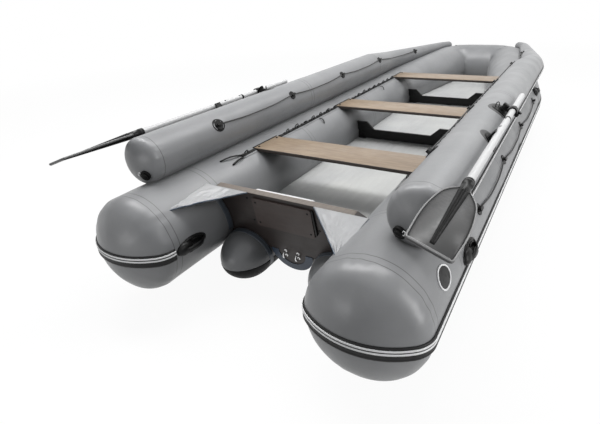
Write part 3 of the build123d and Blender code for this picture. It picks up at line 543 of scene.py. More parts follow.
# ---------------------------------------------------------------- camera, light and floor
def set_camera():
    """A camera astern and above on the starboard side, looking forward and down the boat."""
    data = bpy.data.cameras.new("view")
    data.lens = 26.23
    data.sensor_width = 36.0
    camera = bpy.data.objects.new("view", data)
    place = (1.0934, -3.8139, 1.4305)
    yaw, pitch, roll = 0.5651, -0.4711, -0.0579
    turn = Matrix.Rotation(yaw, 4, "Z") @ Matrix.Rotation(pi / 2 + pitch, 4, "X")
    turn = turn @ Matrix.Rotation(roll, 4, "Z")
    camera.matrix_world = Matrix.Translation(place) @ turn
    bpy.context.scene.collection.objects.link(camera)
    bpy.context.scene.camera = camera


def area_light(name, place, aim, size, power):
    """A rectangular lamp at a place, aimed at another, of a size in metres and a power in watts."""
    data = bpy.data.lights.new(name, "AREA")
    data.shape = "RECTANGLE"
    data.size, data.size_y = size
    data.energy = power
    light = bpy.data.objects.new(name, data)
    light.visible_camera = False
    turn = (Vector(aim) - Vector(place)).to_track_quat("-Z", "Y").to_matrix().to_4x4()
    light.matrix_world = Matrix.Translation(place) @ turn
    bpy.context.scene.collection.objects.link(light)


def seen_directly(tree):
    """1 for the rays by which a viewer sees a thing, straight on, mirrored or through glass."""
    path = tree.nodes.new("ShaderNodeLightPath")
    seen = path.outputs["Is Camera Ray"]
    for ray in ("Is Glossy Ray", "Is Transmission Ray"):
        either = tree.nodes.new("ShaderNodeMath")
        either.operation = "MAXIMUM"
        tree.links.new(seen, either.inputs[0])
        tree.links.new(path.outputs[ray], either.inputs[1])
        seen = either.outputs[0]
    return seen


def set_world():
    """A soft pale light all round that looks plain white to the viewer."""
    world = bpy.data.worlds.new("studio")
    world.use_nodes = True
    nodes, links = world.node_tree.nodes, world.node_tree.links
    soft = nodes["Background"]
    soft.inputs["Color"].default_value = (0.93, 0.96, 1.0, 1.0)
    soft.inputs["Strength"].default_value = 0.25
    white = nodes.new("ShaderNodeBackground")
    white.inputs["Strength"].default_value = 1.0
    white.inputs["Color"].default_value = (1.0, 1.0, 1.0, 1.0)
    mix = nodes.new("ShaderNodeMixShader")
    links.new(seen_directly(world.node_tree), mix.inputs["Fac"])
    links.new(soft.outputs[0], mix.inputs[1])
    links.new(white.outputs[0], mix.inputs[2])
    links.new(mix.outputs[0], nodes["World Output"].inputs["Surface"])
    bpy.context.scene.world = world


def set_floor():
    """A wide pale floor that keeps a faint shadow."""
    mesh = bmesh.new()
    bmesh.ops.create_grid(mesh, x_segments=2, y_segments=2, size=30.0)
    data = bpy.data.meshes.new("studio_floor")
    mesh.to_mesh(data)
    mesh.free()
    floor = bpy.data.objects.new("studio_floor", data)
    bpy.context.scene.collection.objects.link(floor)
    made = Finish("studio_floor")
    glow = made.add("ShaderNodeEmission", {"Color": (1, 1, 1, 1), "Strength": 1.0})
    seen = seen_directly(made.tree)
    made.finish(made.blend(seen, grey(0.27), grey(0.85)), 0.8)
    away = made.add("ShaderNodeVectorMath", {0: made.place}, operation="LENGTH").outputs["Value"]
    share = made.math("MULTIPLY", seen, made.span(away, 3.5, 9.0, 0.94, 1.0))
    mix = made.add("ShaderNodeMixShader", {0: share})
    made.tree.links.new(made.shader.outputs[0], mix.inputs[1])
    made.tree.links.new(glow.outputs[0], mix.inputs[2])
    output = made.tree.nodes["Material Output"]
    made.tree.links.new(mix.outputs[0], output.inputs["Surface"])
    data.materials.append(made.material)


set_camera()
set_world()
set_floor()
area_light("key", (-2.4, -1.2, 5.6), (0.4, -0.6, 0.4), (1.6, 4.5), 308)
area_light("top", (0.9, 1.8, 6.2), (0.3, 0.4, 0.3), (2.5, 6.0), 300)
area_light("fill", (4.8, -2.2, 1.8), (0.8, -1.0, 0.4), (1.6, 4.0), 155)
area_light("stern", (-1.4, -6.0, 0.7), (-0.2, -2.5, 0.2), (1.2, 0.6), 20)

scene = bpy.context.scene
scene.view_settings.view_transform = "Standard"


# ---------------------------------------------------------------- buoyancy tubes
def ring_of(frame_row, radius):
    """A row of frames() with a radius and no seam, as tube_skin() takes it."""
    return (*frame_row, radius, 0.0)


def straight_rings(x, z, radius, cap_length, seam_y, end_y, seams):
    """Rings of a straight tube along Y with a rounded stern end; distances are Y."""
    rings = []
    out, up, along = Vector((1, 0, 0)), UP, FORWARD
    for back, reach in cap_profile(radius, cap_length, 20):
        rings.append((seam_y - back, Vector((x, seam_y - back, z)), out, up, along, reach, 0.0))
    for y, shade in spaced(seam_y, end_y, 0.05, seams):
        rings.append((y, Vector((x, y, z)), out, up, along, radius, shade))
    unique = {}
    for ring in rings:
        unique[round(ring[0], 5)] = ring
    return [unique[key] for key in sorted(unique)]


def make_main_tubes():
    """Side tubes with their bow quarters, and the nose between them."""
    straight_end = station(bow_joint)
    bend_start = next(n for n, row in enumerate(main_frames) if row[1].y > straight_end)
    corner_rows = [n for n, row in enumerate(main_frames) if row[4].x < -0.35]
    nose_begin = next(n for n in corner_rows if main_frames[n][4].x < -0.75)
    seams = [stern_seam + stern_band, *(station(distance) for distance in main_seams)]
    straight = straight_rings(
        main_spacing, main_axis, main_radius, main_cap, stern_seam, straight_end, seams
    )
    bow = [ring_of(row, main_radius) for row in main_frames[bend_start : nose_begin + 1]]
    offset = bow[0][1].y - bow[0][0]
    bow = [(ring[0] + offset, *ring[1:]) for ring in bow]
    creases = [(stern_seam, 0.0018, 0.05, 21), (stern_seam - 0.09, 0.0016, 0.05, 11)]
    creases += [(seam, 0.0007, 0.06, 9) for seam in seams[1:]]
    creases.append((bow[-1][0], 0.0035, 0.07, 13))
    for name, side in SIDES.items():
        rings = [mirrored(ring, side) for ring in straight + bow]
        nodes = (f"main_tube_{name}", f"bow_quarter_{name}")
        tube_skin(
            f"side_tube_{name}", rings, 128, creases, 3.0 * side, material=TUBE,
            waists=[station(distance) for distance in main_waists],
            stands_for=nodes, slot="tube_fabric",
        )
    half = [ring_of(row, main_radius) for row in main_frames[nose_begin:]]
    other = [mirrored(ring, -1) for ring in reversed(half[:-1])]
    width = 2 * half[-1][0]
    other = [(width - ring[0], ring[1], ring[2], ring[3], -ring[4], *ring[5:]) for ring in other]
    creases = [(half[0][0], 0.0035, 0.06, 15), (width - half[0][0], 0.0035, 0.06, 15)]
    tube_skin(
        "nose_tube", half + other, 128, creases, 1.0, close_start=False, material=TUBE,
        stands_for=("bow_nose",), slot="tube_fabric",
    )


def make_upper_tubes():
    """Slimmer tubes on top, thinning to the bow."""
    seam_y = station(upper_ends[0])
    centre = upper_at(1.0)[0]
    seams = [seam_y, *(station(distance) for distance in upper_seams)]
    straight = straight_rings(
        centre.x, centre.z, upper_radius, upper_cap, seam_y, station(upper_ends[1]), seams
    )
    taper = []
    for distance, shade in spaced(upper_ends[1] + 0.05, upper_ends[2], 0.05, [taper_seam]):
        place, outward, upward, along, radius = upper_at(distance)
        taper.append((station(distance), place, outward, upward, along, radius, shade))
    tip = taper[-1]
    dome = []
    steps = 9
    for step in range(1, steps):
        angle = pi / 2 * step / steps
        place = tip[1] + tip[4] * (upper_tip_radius * sin(angle))
        dome.append((tip[0] + 0.005 * step, place, *tip[2:5], upper_tip_radius * cos(angle), 0.0))
    creases = [(seam_y, 0.0011, 0.035, 17), (seam_y - 0.04, 0.0008, 0.03, 9)]
    for name, side in SIDES.items():
        rings = [mirrored(ring, side) for ring in straight + taper + dome]
        tube_skin(
            f"upper_skin_{name}", rings, 96, creases, 5.0 * side, close_end=True, material=TUBE,
            stands_for=(f"upper_tube_{name}",), slot="tube_fabric",
        )


def make_keel_shoes():
    """Black rubbing strips glued along the keels' undersides."""
    shoe_height, shoe_thickness = 0.0012, 0.0022
    for name in SIDES:
        skin = bpy.data.objects[f"keel_skin_{name}"]
        mesh = bmesh.new()
        mesh.from_mesh(skin.data)
        for place, away in (((0, 0, shoe_top), UP), ((0, station(shoe_end), 0), FORWARD)):
            cut_along(mesh, place, away, clear_outer=True)
        mesh.normal_update()
        for vertex in mesh.verts:
            vertex.co += vertex.normal * shoe_height
        piece = give(mesh, f"keel_shoe_{name}", SHOE)
        solid = piece.modifiers.new("strip_thickness", "SOLIDIFY")
        solid.thickness = shoe_thickness
        solid.offset = -1.0


def make_keels():
    """Round keel tubes under the floor."""
    seam_y = station(keel_ends[0])
    straight = straight_rings(
        keel_start[0], keel_start[1], keel_radius, keel_cap, seam_y, station(keel_ends[1]), [seam_y]
    )
    front = []
    steps = 24
    for step in range(1, steps + 1):
        share = step / steps
        x, z, radius = (a + (b - a) * share * share for a, b in zip(keel_start, keel_tip))
        y = station(keel_ends[1] + (keel_ends[2] - keel_ends[1]) * share)
        front.append((y, Vector((x, y, z)), Vector((1, 0, 0)), UP, FORWARD, radius, 0.0))
    creases = [(seam_y, 0.0009, 0.03, 15)]
    for name, side in SIDES.items():
        rings = [mirrored(ring, side) for ring in straight + front]
        tube_skin(
            f"keel_skin_{name}", rings, 72, creases, 7.0 * side, close_end=True, material=TUBE,
            stands_for=(f"keel_tube_{name}",), slot="tube_fabric",
        )


# ---------------------------------------------------------------- building small shapes
def add_block(mesh, centre, size, rounding=0.0, segments=2):
    """A box with rounded edges."""
    made = bmesh.ops.create_cube(mesh, size=1.0)["verts"]
    bmesh.ops.scale(mesh, vec=size, verts=made)
    bmesh.ops.translate(mesh, vec=centre, verts=made)
    if rounding:
        edges = list(dict.fromkeys(edge for vertex in made for edge in vertex.link_edges))
        bevelled = bmesh.ops.bevel(
            mesh, geom=edges, offset=rounding, segments=segments, profile=0.5,
            affect="EDGES", material=-1,
        )
        made = verts_of(bevelled["faces"])
    return made


def add_disc(mesh, centre, radius, height, rounding=0.001, squash=1.0, segments=40):
    """A round or oval plate standing on the XY plane, with a rounded top edge."""
    made = bmesh.ops.create_circle(mesh, cap_ends=True, segments=segments, radius=radius)["verts"]
    bmesh.ops.scale(mesh, vec=(1, squash, 1), verts=made)
    face = made[0].link_faces[0]
    grown = bmesh.ops.extrude_face_region(mesh, geom=[face])["geom"]
    verts = verts_in(grown)
    top = [item for item in grown if isinstance(item, bmesh.types.BMFace)]
    bmesh.ops.translate(mesh, vec=(0, 0, height), verts=verts)
    everything = made + verts
    if rounding:
        edges = list(top[0].edges)
        rounded = bmesh.ops.bevel(
            mesh, geom=edges, offset=rounding, segments=3, profile=0.5, affect="EDGES", material=-1
        )
        everything += verts_of(rounded["faces"])
    everything = list(dict.fromkeys(vertex for vertex in everything if vertex.is_valid))
    bmesh.ops.translate(mesh, vec=centre, verts=everything)
    return everything


def add_rod(mesh, start, end, radius, end_radius=None, segments=24):
    """A round bar between two points."""
    start, end = Vector(start), Vector(end)
    run = end - start
    turn = run.to_track_quat("Z", "Y").to_matrix().to_4x4()
    return bmesh.ops.create_cone(
        mesh, cap_ends=True, segments=segments, radius1=radius, depth=run.length,
        radius2=radius if end_radius is None else end_radius,
        matrix=Matrix.Translation((start + end) / 2) @ turn,
    )["verts"]


def add_sweep(mesh, outline, rows, closed=False):
    """Pushes an outline of (out, across) points along rows of (place, out, across, along)."""
    matrices = [basis(*row) for row in rows]
    verts = [mesh.verts.new((out, across, 0)) for out, across in outline]
    edges = [mesh.edges.new(pair) for pair in zip(verts, verts[1:] + verts[:1])]
    bmesh.ops.transform(mesh, matrix=matrices[0], verts=verts)
    if closed:
        matrices.append(matrices[0])
    last, rings = loft(mesh, edges, matrices)
    if closed:
        bmesh.ops.remove_doubles(mesh, verts=rings[0] + rings[-1], dist=1e-6)
    else:
        bmesh.ops.contextual_create(mesh, geom=edges)
        bmesh.ops.contextual_create(mesh, geom=last)
    return rings


def add_bend(mesh, points, radius, segments=12, closed=False):
    """A round bar bent through points."""
    outline = [(radius * cos(2 * pi * n / segments), radius * sin(2 * pi * n / segments))
               for n in range(segments)]
    points = [Vector(point) for point in points]
    rows = []
    side = Vector((0, 0, 1))
    for number, place in enumerate(points):
        before = points[number - 1] if number or closed else place
        after = points[(number + 1) % len(points)] if closed or number + 1 < len(points) else place
        along = (after - before).normalized()
        side = (side - along * side.dot(along)).normalized()
        if side.length < 0.5:
            side = along.orthogonal().normalized()
        rows.append((place, side, along.cross(side), along))
    return add_sweep(mesh, outline, rows, closed)


def add_ring(mesh, matrix, radius, wire, start=0.0, turn=2 * pi, steps=24):
    """A ring, or part of one, of round wire in the matrix's XY plane."""
    whole = turn > 2 * pi - 0.01
    count = steps if whole else steps + 1
    angles = [start + turn * number / steps for number in range(count)]
    points = [matrix @ Vector((radius * cos(a), radius * sin(a), 0)) for a in angles]
    return add_bend(mesh, points, wire, 10, closed=whole)


def add_ridges(mesh, count, reach, low, high, radius):
    """Thin upright bars round a cap, so that fingers can turn it."""
    for x, y, _ in oval(reach, reach, 0, count):
        add_rod(mesh, (x, y, low), (x, y, high), radius, segments=8)


def outward_faces(mesh):
    """Joins points that coincide and turns every face outward."""
    bmesh.ops.remove_doubles(mesh, verts=mesh.verts, dist=1e-6)
    bmesh.ops.recalc_face_normals(mesh, faces=mesh.faces)
    return mesh


def wrap(mesh, tube_at, distance, lean, inboard=False, verts=None):
    """Bends a flat fitting, x forward and y upward, onto a tube at a station and a lean."""
    centre, outward, upward, along, radius = tube_at(distance)
    for vertex in verts or mesh.verts:
        ahead, around, height = vertex.co
        angle = radians(lean) + around / radius
        across = -cos(angle) if inboard else cos(angle)
        direction = outward * across + upward * sin(angle)
        vertex.co = centre + along * ahead + direction * (radius + height)
    return mesh


def main_tube_at(distance):
    """Centre, outward, upward, along and radius of the main tube at a station."""
    return (*main_at(distance), main_radius)


def on_both_sides(name, build, material, node=None, body="hull", **kept):
    """Builds a starboard piece and its mirror image."""
    pieces = []
    for side_name, side in SIDES.items():
        mesh = outward_faces(build())
        if side < 0:
            bmesh.ops.scale(mesh, vec=(-1, 1, 1), verts=mesh.verts)
            bmesh.ops.reverse_faces(mesh, faces=mesh.faces)
        rides = f"oar_{side_name}" if body == "oar" else body
        nodes = (f"{node}_{side_name}",) if node else ()
        piece = give(mesh, f"{name}_{side_name}", material, rides, stands_for=nodes, **kept)
        pieces.append(piece)
    return pieces


# ---------------------------------------------------------------- strakes
def strake_route():
    """Rows along the main tube's outboard side, from inboard of the stern round to the nose."""
    cap = cap_profile(main_radius, main_cap, 10)
    around = [(-reach, back) for back, reach in reversed(cap)] + [(0.0, main_cap)]
    around += [(reach, back) for back, reach in cap]
    path = [Vector((main_spacing + across, stern_seam - back, main_axis)) for across, back in around]
    path += [row[1] + row[2] * main_radius for row in main_frames[1:]]
    return [row[1:] for row in frames(path)]


def bent_band(half_width, low, high, radius, edge=0.0025, steps=10):
    """Outline of a band bent round a tube, its outer edges rounded."""
    outline = []
    for number in range(steps + 1):
        across = -half_width + 2 * half_width * number / steps
        near = min(1.0, (half_width - abs(across)) / (edge * 2))
        height = high - edge * (1 - near) ** 2 - across**2 / (2 * radius)
        outline.append((height, across))
    for number in range(steps, -1, -2):
        across = -half_width + 2 * half_width * number / steps
        outline.append((low - across**2 / (2 * radius), across))
    return outline


def make_rub_strakes():
    """A rubber band with a raised lip and two pale lines, round the outside of the main tubes."""
    rows = strake_route()

    def band():
        mesh = bmesh.new()
        add_sweep(mesh, bent_band(0.031, -0.001, 0.0065, main_radius), rows)
        middle_of_lip = -0.0215
        drop = middle_of_lip**2 / (2 * main_radius)
        lip = [(0.0052, -0.006), (0.0078, -0.003), (0.0078, 0.003), (0.0052, 0.006), (0.002, 0.0)]
        add_sweep(mesh, [(out - drop, middle_of_lip + across) for out, across in lip], rows)
        return mesh

    def lines():
        mesh = bmesh.new()
        for across in (0.0040, 0.0180):
            line = [(0.0055, across - 0.0044), (0.0078, across - 0.0039), (0.0084, across),
                    (0.0078, across + 0.0039), (0.0055, across + 0.0044)]
            add_sweep(mesh, line, rows)
        return mesh

    on_both_sides("rub_strake_band", band, STRAKE, "rub_strake", slot="strake_rubber")
    on_both_sides("rub_strake_lines", lines, STRIPE)


def make_upper_strake_lines():
    """Two pale lines along each upper tube's strake."""
    def lines():
        mesh = bmesh.new()
        rows = []
        for number in range(50):
            distance = upper_ends[0] + 0.012 + (4.48 - upper_ends[0]) * number / 49
            centre, outward, upward, along, radius = upper_at(distance)
            rows.append((centre + outward * radius, outward, upward, along))
        for across in (-0.0048, 0.0048):
            line = [(0.0040, across - 0.0022), (0.0056, across - 0.0018), (0.0056, across + 0.0018),
                    (0.0040, across + 0.0022)]
            add_sweep(mesh, line, rows)
        return mesh

    on_both_sides("upper_strake_lines", lines, STRIPE)


# ---------------------------------------------------------------- transom and its fittings
board_face = Matrix.Translation((0, station(transom_station), transom_top)) @ Matrix.Rotation(
    rake, 4, "X"
) @ Matrix.Rotation(pi / 2, 4, "X")  # x across, y up the board, z aft


def make_transom_fittings():
    """The strip along the board's top edge, its screws, slot bar and the tow rings' nuts."""
    mesh = bmesh.new()
    add_block(mesh, (0, 0.0005, -0.018), (0.779, 0.003, 0.034), 0.001)
    give(outward_faces(turned(mesh, board_face)), "transom_edge_strip", BOARD_TOP)

    mesh = bmesh.new()
    board_screws = (-0.205, -0.035), (-0.195, -0.175), (0.196, -0.145), (0.205, -0.04)
    for across, up in board_screws:
        add_disc(mesh, (across, up, 0.0), 0.0062, 0.0022, 0.0012, segments=20)
        add_disc(mesh, (across, up, 0.002), 0.0026, 0.0009, 0.0003, segments=6)
    for across in (-0.15, 0.15):
        for up in (-0.045, -0.172):
            add_disc(mesh, (across, up, 0.010), 0.0055, 0.0018, 0.0010, segments=20)
    give(outward_faces(turned(mesh, board_face)), "transom_screws", PLASTIC)

    mesh = bmesh.new()
    verts = add_block(mesh, (0, 0, 0.005), (0.011, 0.150, 0.009), 0.002)
    bmesh.ops.rotate(mesh, verts=verts, cent=(0, 0, 0), matrix=Matrix.Rotation(0.03, 3, "Z"))
    bmesh.ops.translate(mesh, verts=verts, vec=(0.1785, -0.098, 0))
    give(outward_faces(turned(mesh, board_face)), "transom_slot_bar", PLASTIC)

    mesh = bmesh.new()
    ring_up = -(transom_top - 0.186) / cos(rake)
    for across in (-0.038, 0.038):
        for up in (-0.016, 0.016):
            add_disc(mesh, (across, ring_up + up, 0.0), 0.0095, 0.0028, 0.0012, segments=28)
            add_disc(mesh, (across, ring_up + up, 0.0026), 0.0062, 0.0030, 0.0010, segments=6)
    give(outward_faces(turned(mesh, board_face)), "tow_ring_nuts", CHROME)


def make_collars():
    """Glued fabric collars where the transom meets the main tubes and the keels."""
    tubes = (
        ("tube_collar", (main_spacing, main_axis, main_radius), (127, 197), 0.034),
        ("keel_collar", keel_start, (-35, 205), 0.030),
    )
    for name, (x, z, radius), (first, last), width in tubes:
        def collar(x=x, z=z, radius=radius, first=first, last=last, width=width):
            mesh = bmesh.new()
            rows = []
            for number in range(49):
                angle = radians(first + (last - first) * number / 48)
                out = Vector((cos(angle), 0, sin(angle)))
                along = Vector((-sin(angle), 0, cos(angle)))
                height = z + radius * sin(angle)
                aft = station(transom_station) + (transom_top - height) * tan(rake) - 0.0015
                rows.append((Vector((x, aft, z)) + out * radius, out, FORWARD, along))
            band = [(0.0, 0.0), (0.0055, 0.0), (0.0028, -0.006), (0.0018, -width * 0.5),
                    (0.0018, -width + 0.002), (0.0004, -width), (-0.001, -width), (-0.001, 0.0)]
            add_sweep(mesh, band, rows)
            return mesh

        on_both_sides(name, collar, COLLAR)


def make_gussets():
    """Wrinkled fabric triangles between each tube and the transom's top edge."""
    low = transom_top - 0.018
    aft = Vector((main_spacing - (main_radius**2 - (low - main_axis) ** 2) ** 0.5 + 0.012,
                  station(transom_station - 0.3), low))
    outer = Vector((main_spacing - 0.152, station(transom_station - 0.003), transom_top + 0.0035))
    inner = Vector((0.19, station(transom_station - 0.003), transom_top + 0.0035))
    normal = (outer - aft).cross(inner - aft).normalized()
    if normal.z < 0:
        normal = -normal

    def fold(share, sweep):
        """How far the cloth stands out, 0 to 1 along the web and 0 to 1 across it."""
        folds = 1 - 2 * abs(noise.noise(Vector((share * 2.0, sweep * 6.0, 1.5))))
        folds += 0.6 * noise.noise(Vector((share * 8.0, sweep * 9.0, 4.2)))
        inside = min(1.0, 6 * (1 - share)) * min(1.0, share * 5) * min(1.0, 4 * sweep)
        return 0.009 * folds * inside

    def sheet():
        mesh = bmesh.new()
        bmesh.ops.create_grid(mesh, x_segments=40, y_segments=30, size=0.5)
        for vertex in mesh.verts:
            share, sweep = vertex.co.x + 0.5, vertex.co.y + 0.5
            place = aft.lerp(outer.lerp(inner, sweep), share)
            sag = -0.018 * sin(pi * sweep) * sin(pi * share) * (0.3 + share)
            vertex.co = place + normal * (sag + fold(share, sweep))
        bmesh.ops.remove_doubles(mesh, verts=mesh.verts, dist=0.0004)
        for face in mesh.faces:
            if face.normal.dot(normal) < 0:
                face.normal_flip()
        return mesh

    def hem():
        mesh = bmesh.new()
        points = []
        for number in range(25):
            share = number / 24
            points.append(aft.lerp(inner, share) + normal * (fold(share, 1.0) - 0.003))
        add_bend(mesh, points, 0.0032, 8)
        return mesh

    for piece in on_both_sides("gusset_cloth", sheet, WEB, "transom_gusset", slot="tube_fabric"):
        solid = piece.modifiers.new("cloth_thickness", "SOLIDIFY")
        solid.thickness = 0.0016
        solid.offset = 0.0
    on_both_sides("gusset_hem", hem, NAVY)


# ---------------------------------------------------------------- floor, ribs, benches and rails
def make_floor():
    """The air floor: lengthwise channels in its upper skin."""
    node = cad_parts["air_floor"]
    low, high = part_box("air_floor")
    mesh = bmesh.new()
    mesh.from_mesh(node.data)
    bmesh.ops.remove_doubles(mesh, verts=mesh.verts, dist=1e-5)
    bmesh.ops.dissolve_limit(mesh, angle_limit=0.01, verts=mesh.verts, edges=mesh.edges)
    pitch, channel_width = 0.0085, 0.051
    across, along = int((high.x - low.x) / pitch), 24
    for number in range(1, across):
        cut_along(mesh, (low.x + (high.x - low.x) * number / across, 0, 0), (1, 0, 0))
    for number in range(1, along):
        cut_along(mesh, (0, low.y + (high.y - low.y) * number / along, 0), (0, 1, 0))
    for vertex in mesh.verts:
        if vertex.co.z > (low.z + high.z) / 2:
            channel = abs(sin(pi * vertex.co.x / channel_width)) ** 0.5
            wander = noise.noise(Vector((vertex.co.x * 14.0, vertex.co.y * 0.6, 0.0)))
            vertex.co.z += 0.0030 * (channel - 1.0) + 0.0022 * wander - 0.0012
    give(mesh, "floor_skin", FLOOR, stands_for=("air_floor",), slot="floor_fabric")


def make_benches():
    """Bench boards with sawn edges, and the shoes and studs that hold their ends."""
    for name in BENCHES:
        low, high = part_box(f"seat_{name}")
        centre, size = (low + high) / 2, high - low
        mesh = bmesh.new()
        add_block(mesh, (0, 0, 0), size - Vector((0.012, 0.002, 0.002)), 0.0028, 3)
        outward_faces(mesh)
        mesh.normal_update()
        for face in mesh.faces:
            face.material_index = 0 if face.normal.z > 0.85 else 1
        bmesh.ops.translate(mesh, vec=centre, verts=mesh.verts)
        give(mesh, f"bench_{name}", [BENCH, EDGE], stands_for=(f"seat_{name}",), slot="seat_board")

    def end_shoes():
        mesh = bmesh.new()
        for name in BENCHES:
            low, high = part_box(f"seat_{name}")
            middle_y = (low.y + high.y) / 2
            add_block(mesh, (high.x - 0.004, middle_y, high.z - 0.011),
                      (0.010, high.y - low.y + 0.004, 0.026), 0.002)
            for y in (low.y + 0.03, high.y - 0.03):
                add_disc(mesh, (high.x - 0.028, y, high.z - 0.0005), 0.0075, 0.0028, 0.0012)
                add_disc(mesh, (high.x - 0.028, y, high.z + 0.002), 0.0035, 0.0016, 0.0006)
        return mesh

    on_both_sides("bench_end_shoes", end_shoes, PLASTIC)


def make_rails():
    """A fabric strip with a dark corded middle, loops, rings and strap ends along each side."""
    low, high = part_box("seat_rail_starboard")
    ends = (low.y + 0.002, high.y - 0.002)

    def rail_rows(height):
        rows = []
        for number in range(60):
            distance = ends[0] + (ends[1] - ends[0]) * number / 59 + middle
            centre, outward, upward, along = main_at(distance)
            angle = radians(rail_lean)
            out = -outward * cos(angle) + upward * sin(angle)
            rows.append((centre + out * (main_radius + height), out, along.cross(out), along))
        return rows

    def strip():
        mesh = bmesh.new()
        add_sweep(mesh, bent_band(0.021, -0.0005, 0.0026, main_radius, 0.0012), rail_rows(0))
        return mesh

    def cord():
        mesh = bmesh.new()
        add_sweep(mesh, bent_band(0.0095, 0.0, 0.0048, 0.05, 0.0015), rail_rows(0.002))
        return mesh

    on_both_sides("seat_rail_strip", strip, TUBE, "seat_rail", slot="rail_rubber")
    on_both_sides("seat_rail_cord", cord, RUBBER)

    def hardware():
        mesh = bmesh.new()
        benches = [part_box(f"seat_{name}") for name in BENCHES]
        first_ring, ring_step, first_loop, loop_step = 0.60, 0.116, 0.575, 0.0575
        for number in range(24):
            distance = first_ring + ring_step * number
            y = station(distance)
            if any(low.y - 0.03 < y < high.y + 0.03 for low, high in benches):
                continue
            piece = bmesh.new()
            lean = noise.noise(Vector((distance * 5.0, 1.0, 2.0)))
            stand = Matrix.Translation((0, 0, 0.0165)) @ Matrix.Rotation(pi / 2 + 0.5 * lean, 4, "X")
            if number % 2:
                add_ring(piece, stand @ Matrix.Rotation(lean, 4, "Z"), 0.0200, 0.0030)
            else:
                add_ring(piece, stand, 0.0150, 0.0030, 0.0, pi, 12)
            add_block(piece, (0, 0, 0.0045), (0.024, 0.010, 0.005), 0.0015)
            wrap(piece, main_tube_at, distance, rail_lean, inboard=True)
            merge(mesh, piece)
        for number in range(49):
            distance = first_loop + loop_step * number
            y = station(distance)
            if any(low.y - 0.012 < y < high.y + 0.012 for low, high in benches):
                continue
            piece = bmesh.new()
            add_block(piece, (0, 0.002, 0.0075), (0.022, 0.014, 0.006), 0.0022)
            wrap(piece, main_tube_at, distance, rail_lean, inboard=True)
            merge(mesh, piece)
        return mesh

    def straps():
        mesh = bmesh.new()
        band = [(0.0030, -0.005), (0.0030, 0.005), (0.0006, 0.005), (0.0006, -0.005)]
        tails = [(0.565, 66, -0.155, 0.028), (0.565, 61, -0.115, -0.012), (1.50, 60, -0.01, -0.055),
                 (2.72, 60, -0.01, -0.050)]
        for distance, lean, ahead, around in tails:
            piece = bmesh.new()
            rows = []
            end = Vector((ahead, around, 0.0))
            for number in range(9):
                share = number / 8
                lift = 0.010 * sin(pi * share) + 0.001
                place = end * share + Vector((0, 0, lift))
                along = (end + Vector((0, 0, 0.010 * pi * cos(pi * share)))).normalized()
                side = UP.cross(along).normalized()
                rows.append((place, along.cross(side), side, along))
            add_sweep(piece, band, rows)
            wrap(piece, main_tube_at, distance, lean, inboard=True)
            merge(mesh, piece)
        return mesh

    on_both_sides("seat_rail_loops", hardware, RUBBER)
    on_both_sides("seat_rail_straps", straps, RUBBER)


def merge(mesh, piece):
    """Adds one bmesh to another and frees it."""
    data = bpy.data.meshes.new("part")
    outward_faces(piece).to_mesh(data)
    piece.free()
    mesh.from_mesh(data)
    bpy.data.meshes.remove(data)


def make_rib_fittings():
    """Blocks and pins at the ribs' feet, and plates that widen their raised ends."""
    def feet():
        mesh = bmesh.new()
        for name in RIBS:
            low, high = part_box(f"floor_rib_{name}")
            y = (low.y + high.y) / 2
            floor_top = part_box("air_floor")[1].z
            for x in (0.318, 0.338):
                for z in (floor_top + 0.028, floor_top + 0.092):
                    ends = (x, low.y - 0.003, z), (x, high.y + 0.003, z)
                    add_rod(mesh, *ends, 0.006, segments=16)
            add_block(mesh, (0.322, y, floor_top + 0.003), (0.064, 0.056, 0.006), 0.002)
        return mesh

    def ears():
        mesh = bmesh.new()
        for name in RIBS:
            low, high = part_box(f"floor_rib_{name}")
            base, top = high.z - 0.068, high.z - 0.0006
            outline = [(0.232, base), (0.232, base + 0.008), (0.296, top), (0.372, top), (0.372, base)]
            verts = [mesh.verts.new((x, low.y - 0.0012, z)) for x, z in outline]
            face = mesh.faces.new(verts)
            made = bmesh.ops.extrude_face_region(mesh, geom=[face])["geom"]
            bmesh.ops.translate(mesh, vec=(0, high.y - low.y + 0.0024, 0), verts=verts_in(made))
        bmesh.ops.bevel(
            mesh, geom=mesh.edges[:], offset=0.0015, segments=2, profile=0.6,
            affect="EDGES", material=-1,
        )
        return mesh

    on_both_sides("rib_feet", feet, PLASTIC)
    on_both_sides("rib_ears", ears, RIB)


# ---------------------------------------------------------------- grips, badges, valves and patches
def moulded_grip():
    """A leaf-shaped carrying grip, lying flat with its closed end aft."""
    mesh = bmesh.new()
    add_disc(mesh, (0, 0, -0.003), 0.1, 0.0085, 0.003, 0.42, 56)
    ramp = bmesh.ops.create_uvsphere(mesh, u_segments=28, v_segments=14, radius=1.0)["verts"]
    bmesh.ops.scale(mesh, vec=(0.050, 0.0330, 0.021), verts=ramp)
    bmesh.ops.translate(mesh, vec=(-0.047, 0, 0.004), verts=ramp)
    band = [(0.0032, -0.011), (0.0045, -0.008), (0.0045, 0.008), (0.0032, 0.011), (-0.0035, 0.011),
            (-0.0035, -0.011)]
    path = [(-0.070, 0.0065), (-0.050, 0.021), (-0.026, 0.0285), (0.0, 0.0305), (0.028, 0.029),
            (0.052, 0.0235), (0.070, 0.014), (0.082, 0.0045)]
    rows = []
    for number, (ahead, height) in enumerate(path):
        before = path[max(0, number - 1)]
        after = path[min(len(path) - 1, number + 1)]
        along = Vector((after[0] - before[0], 0, after[1] - before[1])).normalized()
        side = Vector((0, 1, 0))
        rows.append((Vector((ahead, -0.004, height)), along.cross(side) * -1, side, along))
    add_sweep(mesh, band, rows)
    add_bend(mesh, oval(0.090, 0.0345, 0.0062, 40), 0.0034, 8, closed=True)
    ridge = []
    for number in range(25):
        angle = radians(-100 + 200 * number / 24)
        ridge.append((0.012 + 0.056 * cos(angle), 0.0250 * sin(angle), 0.0085))
    add_bend(mesh, ridge, 0.0026, 8)
    return mesh


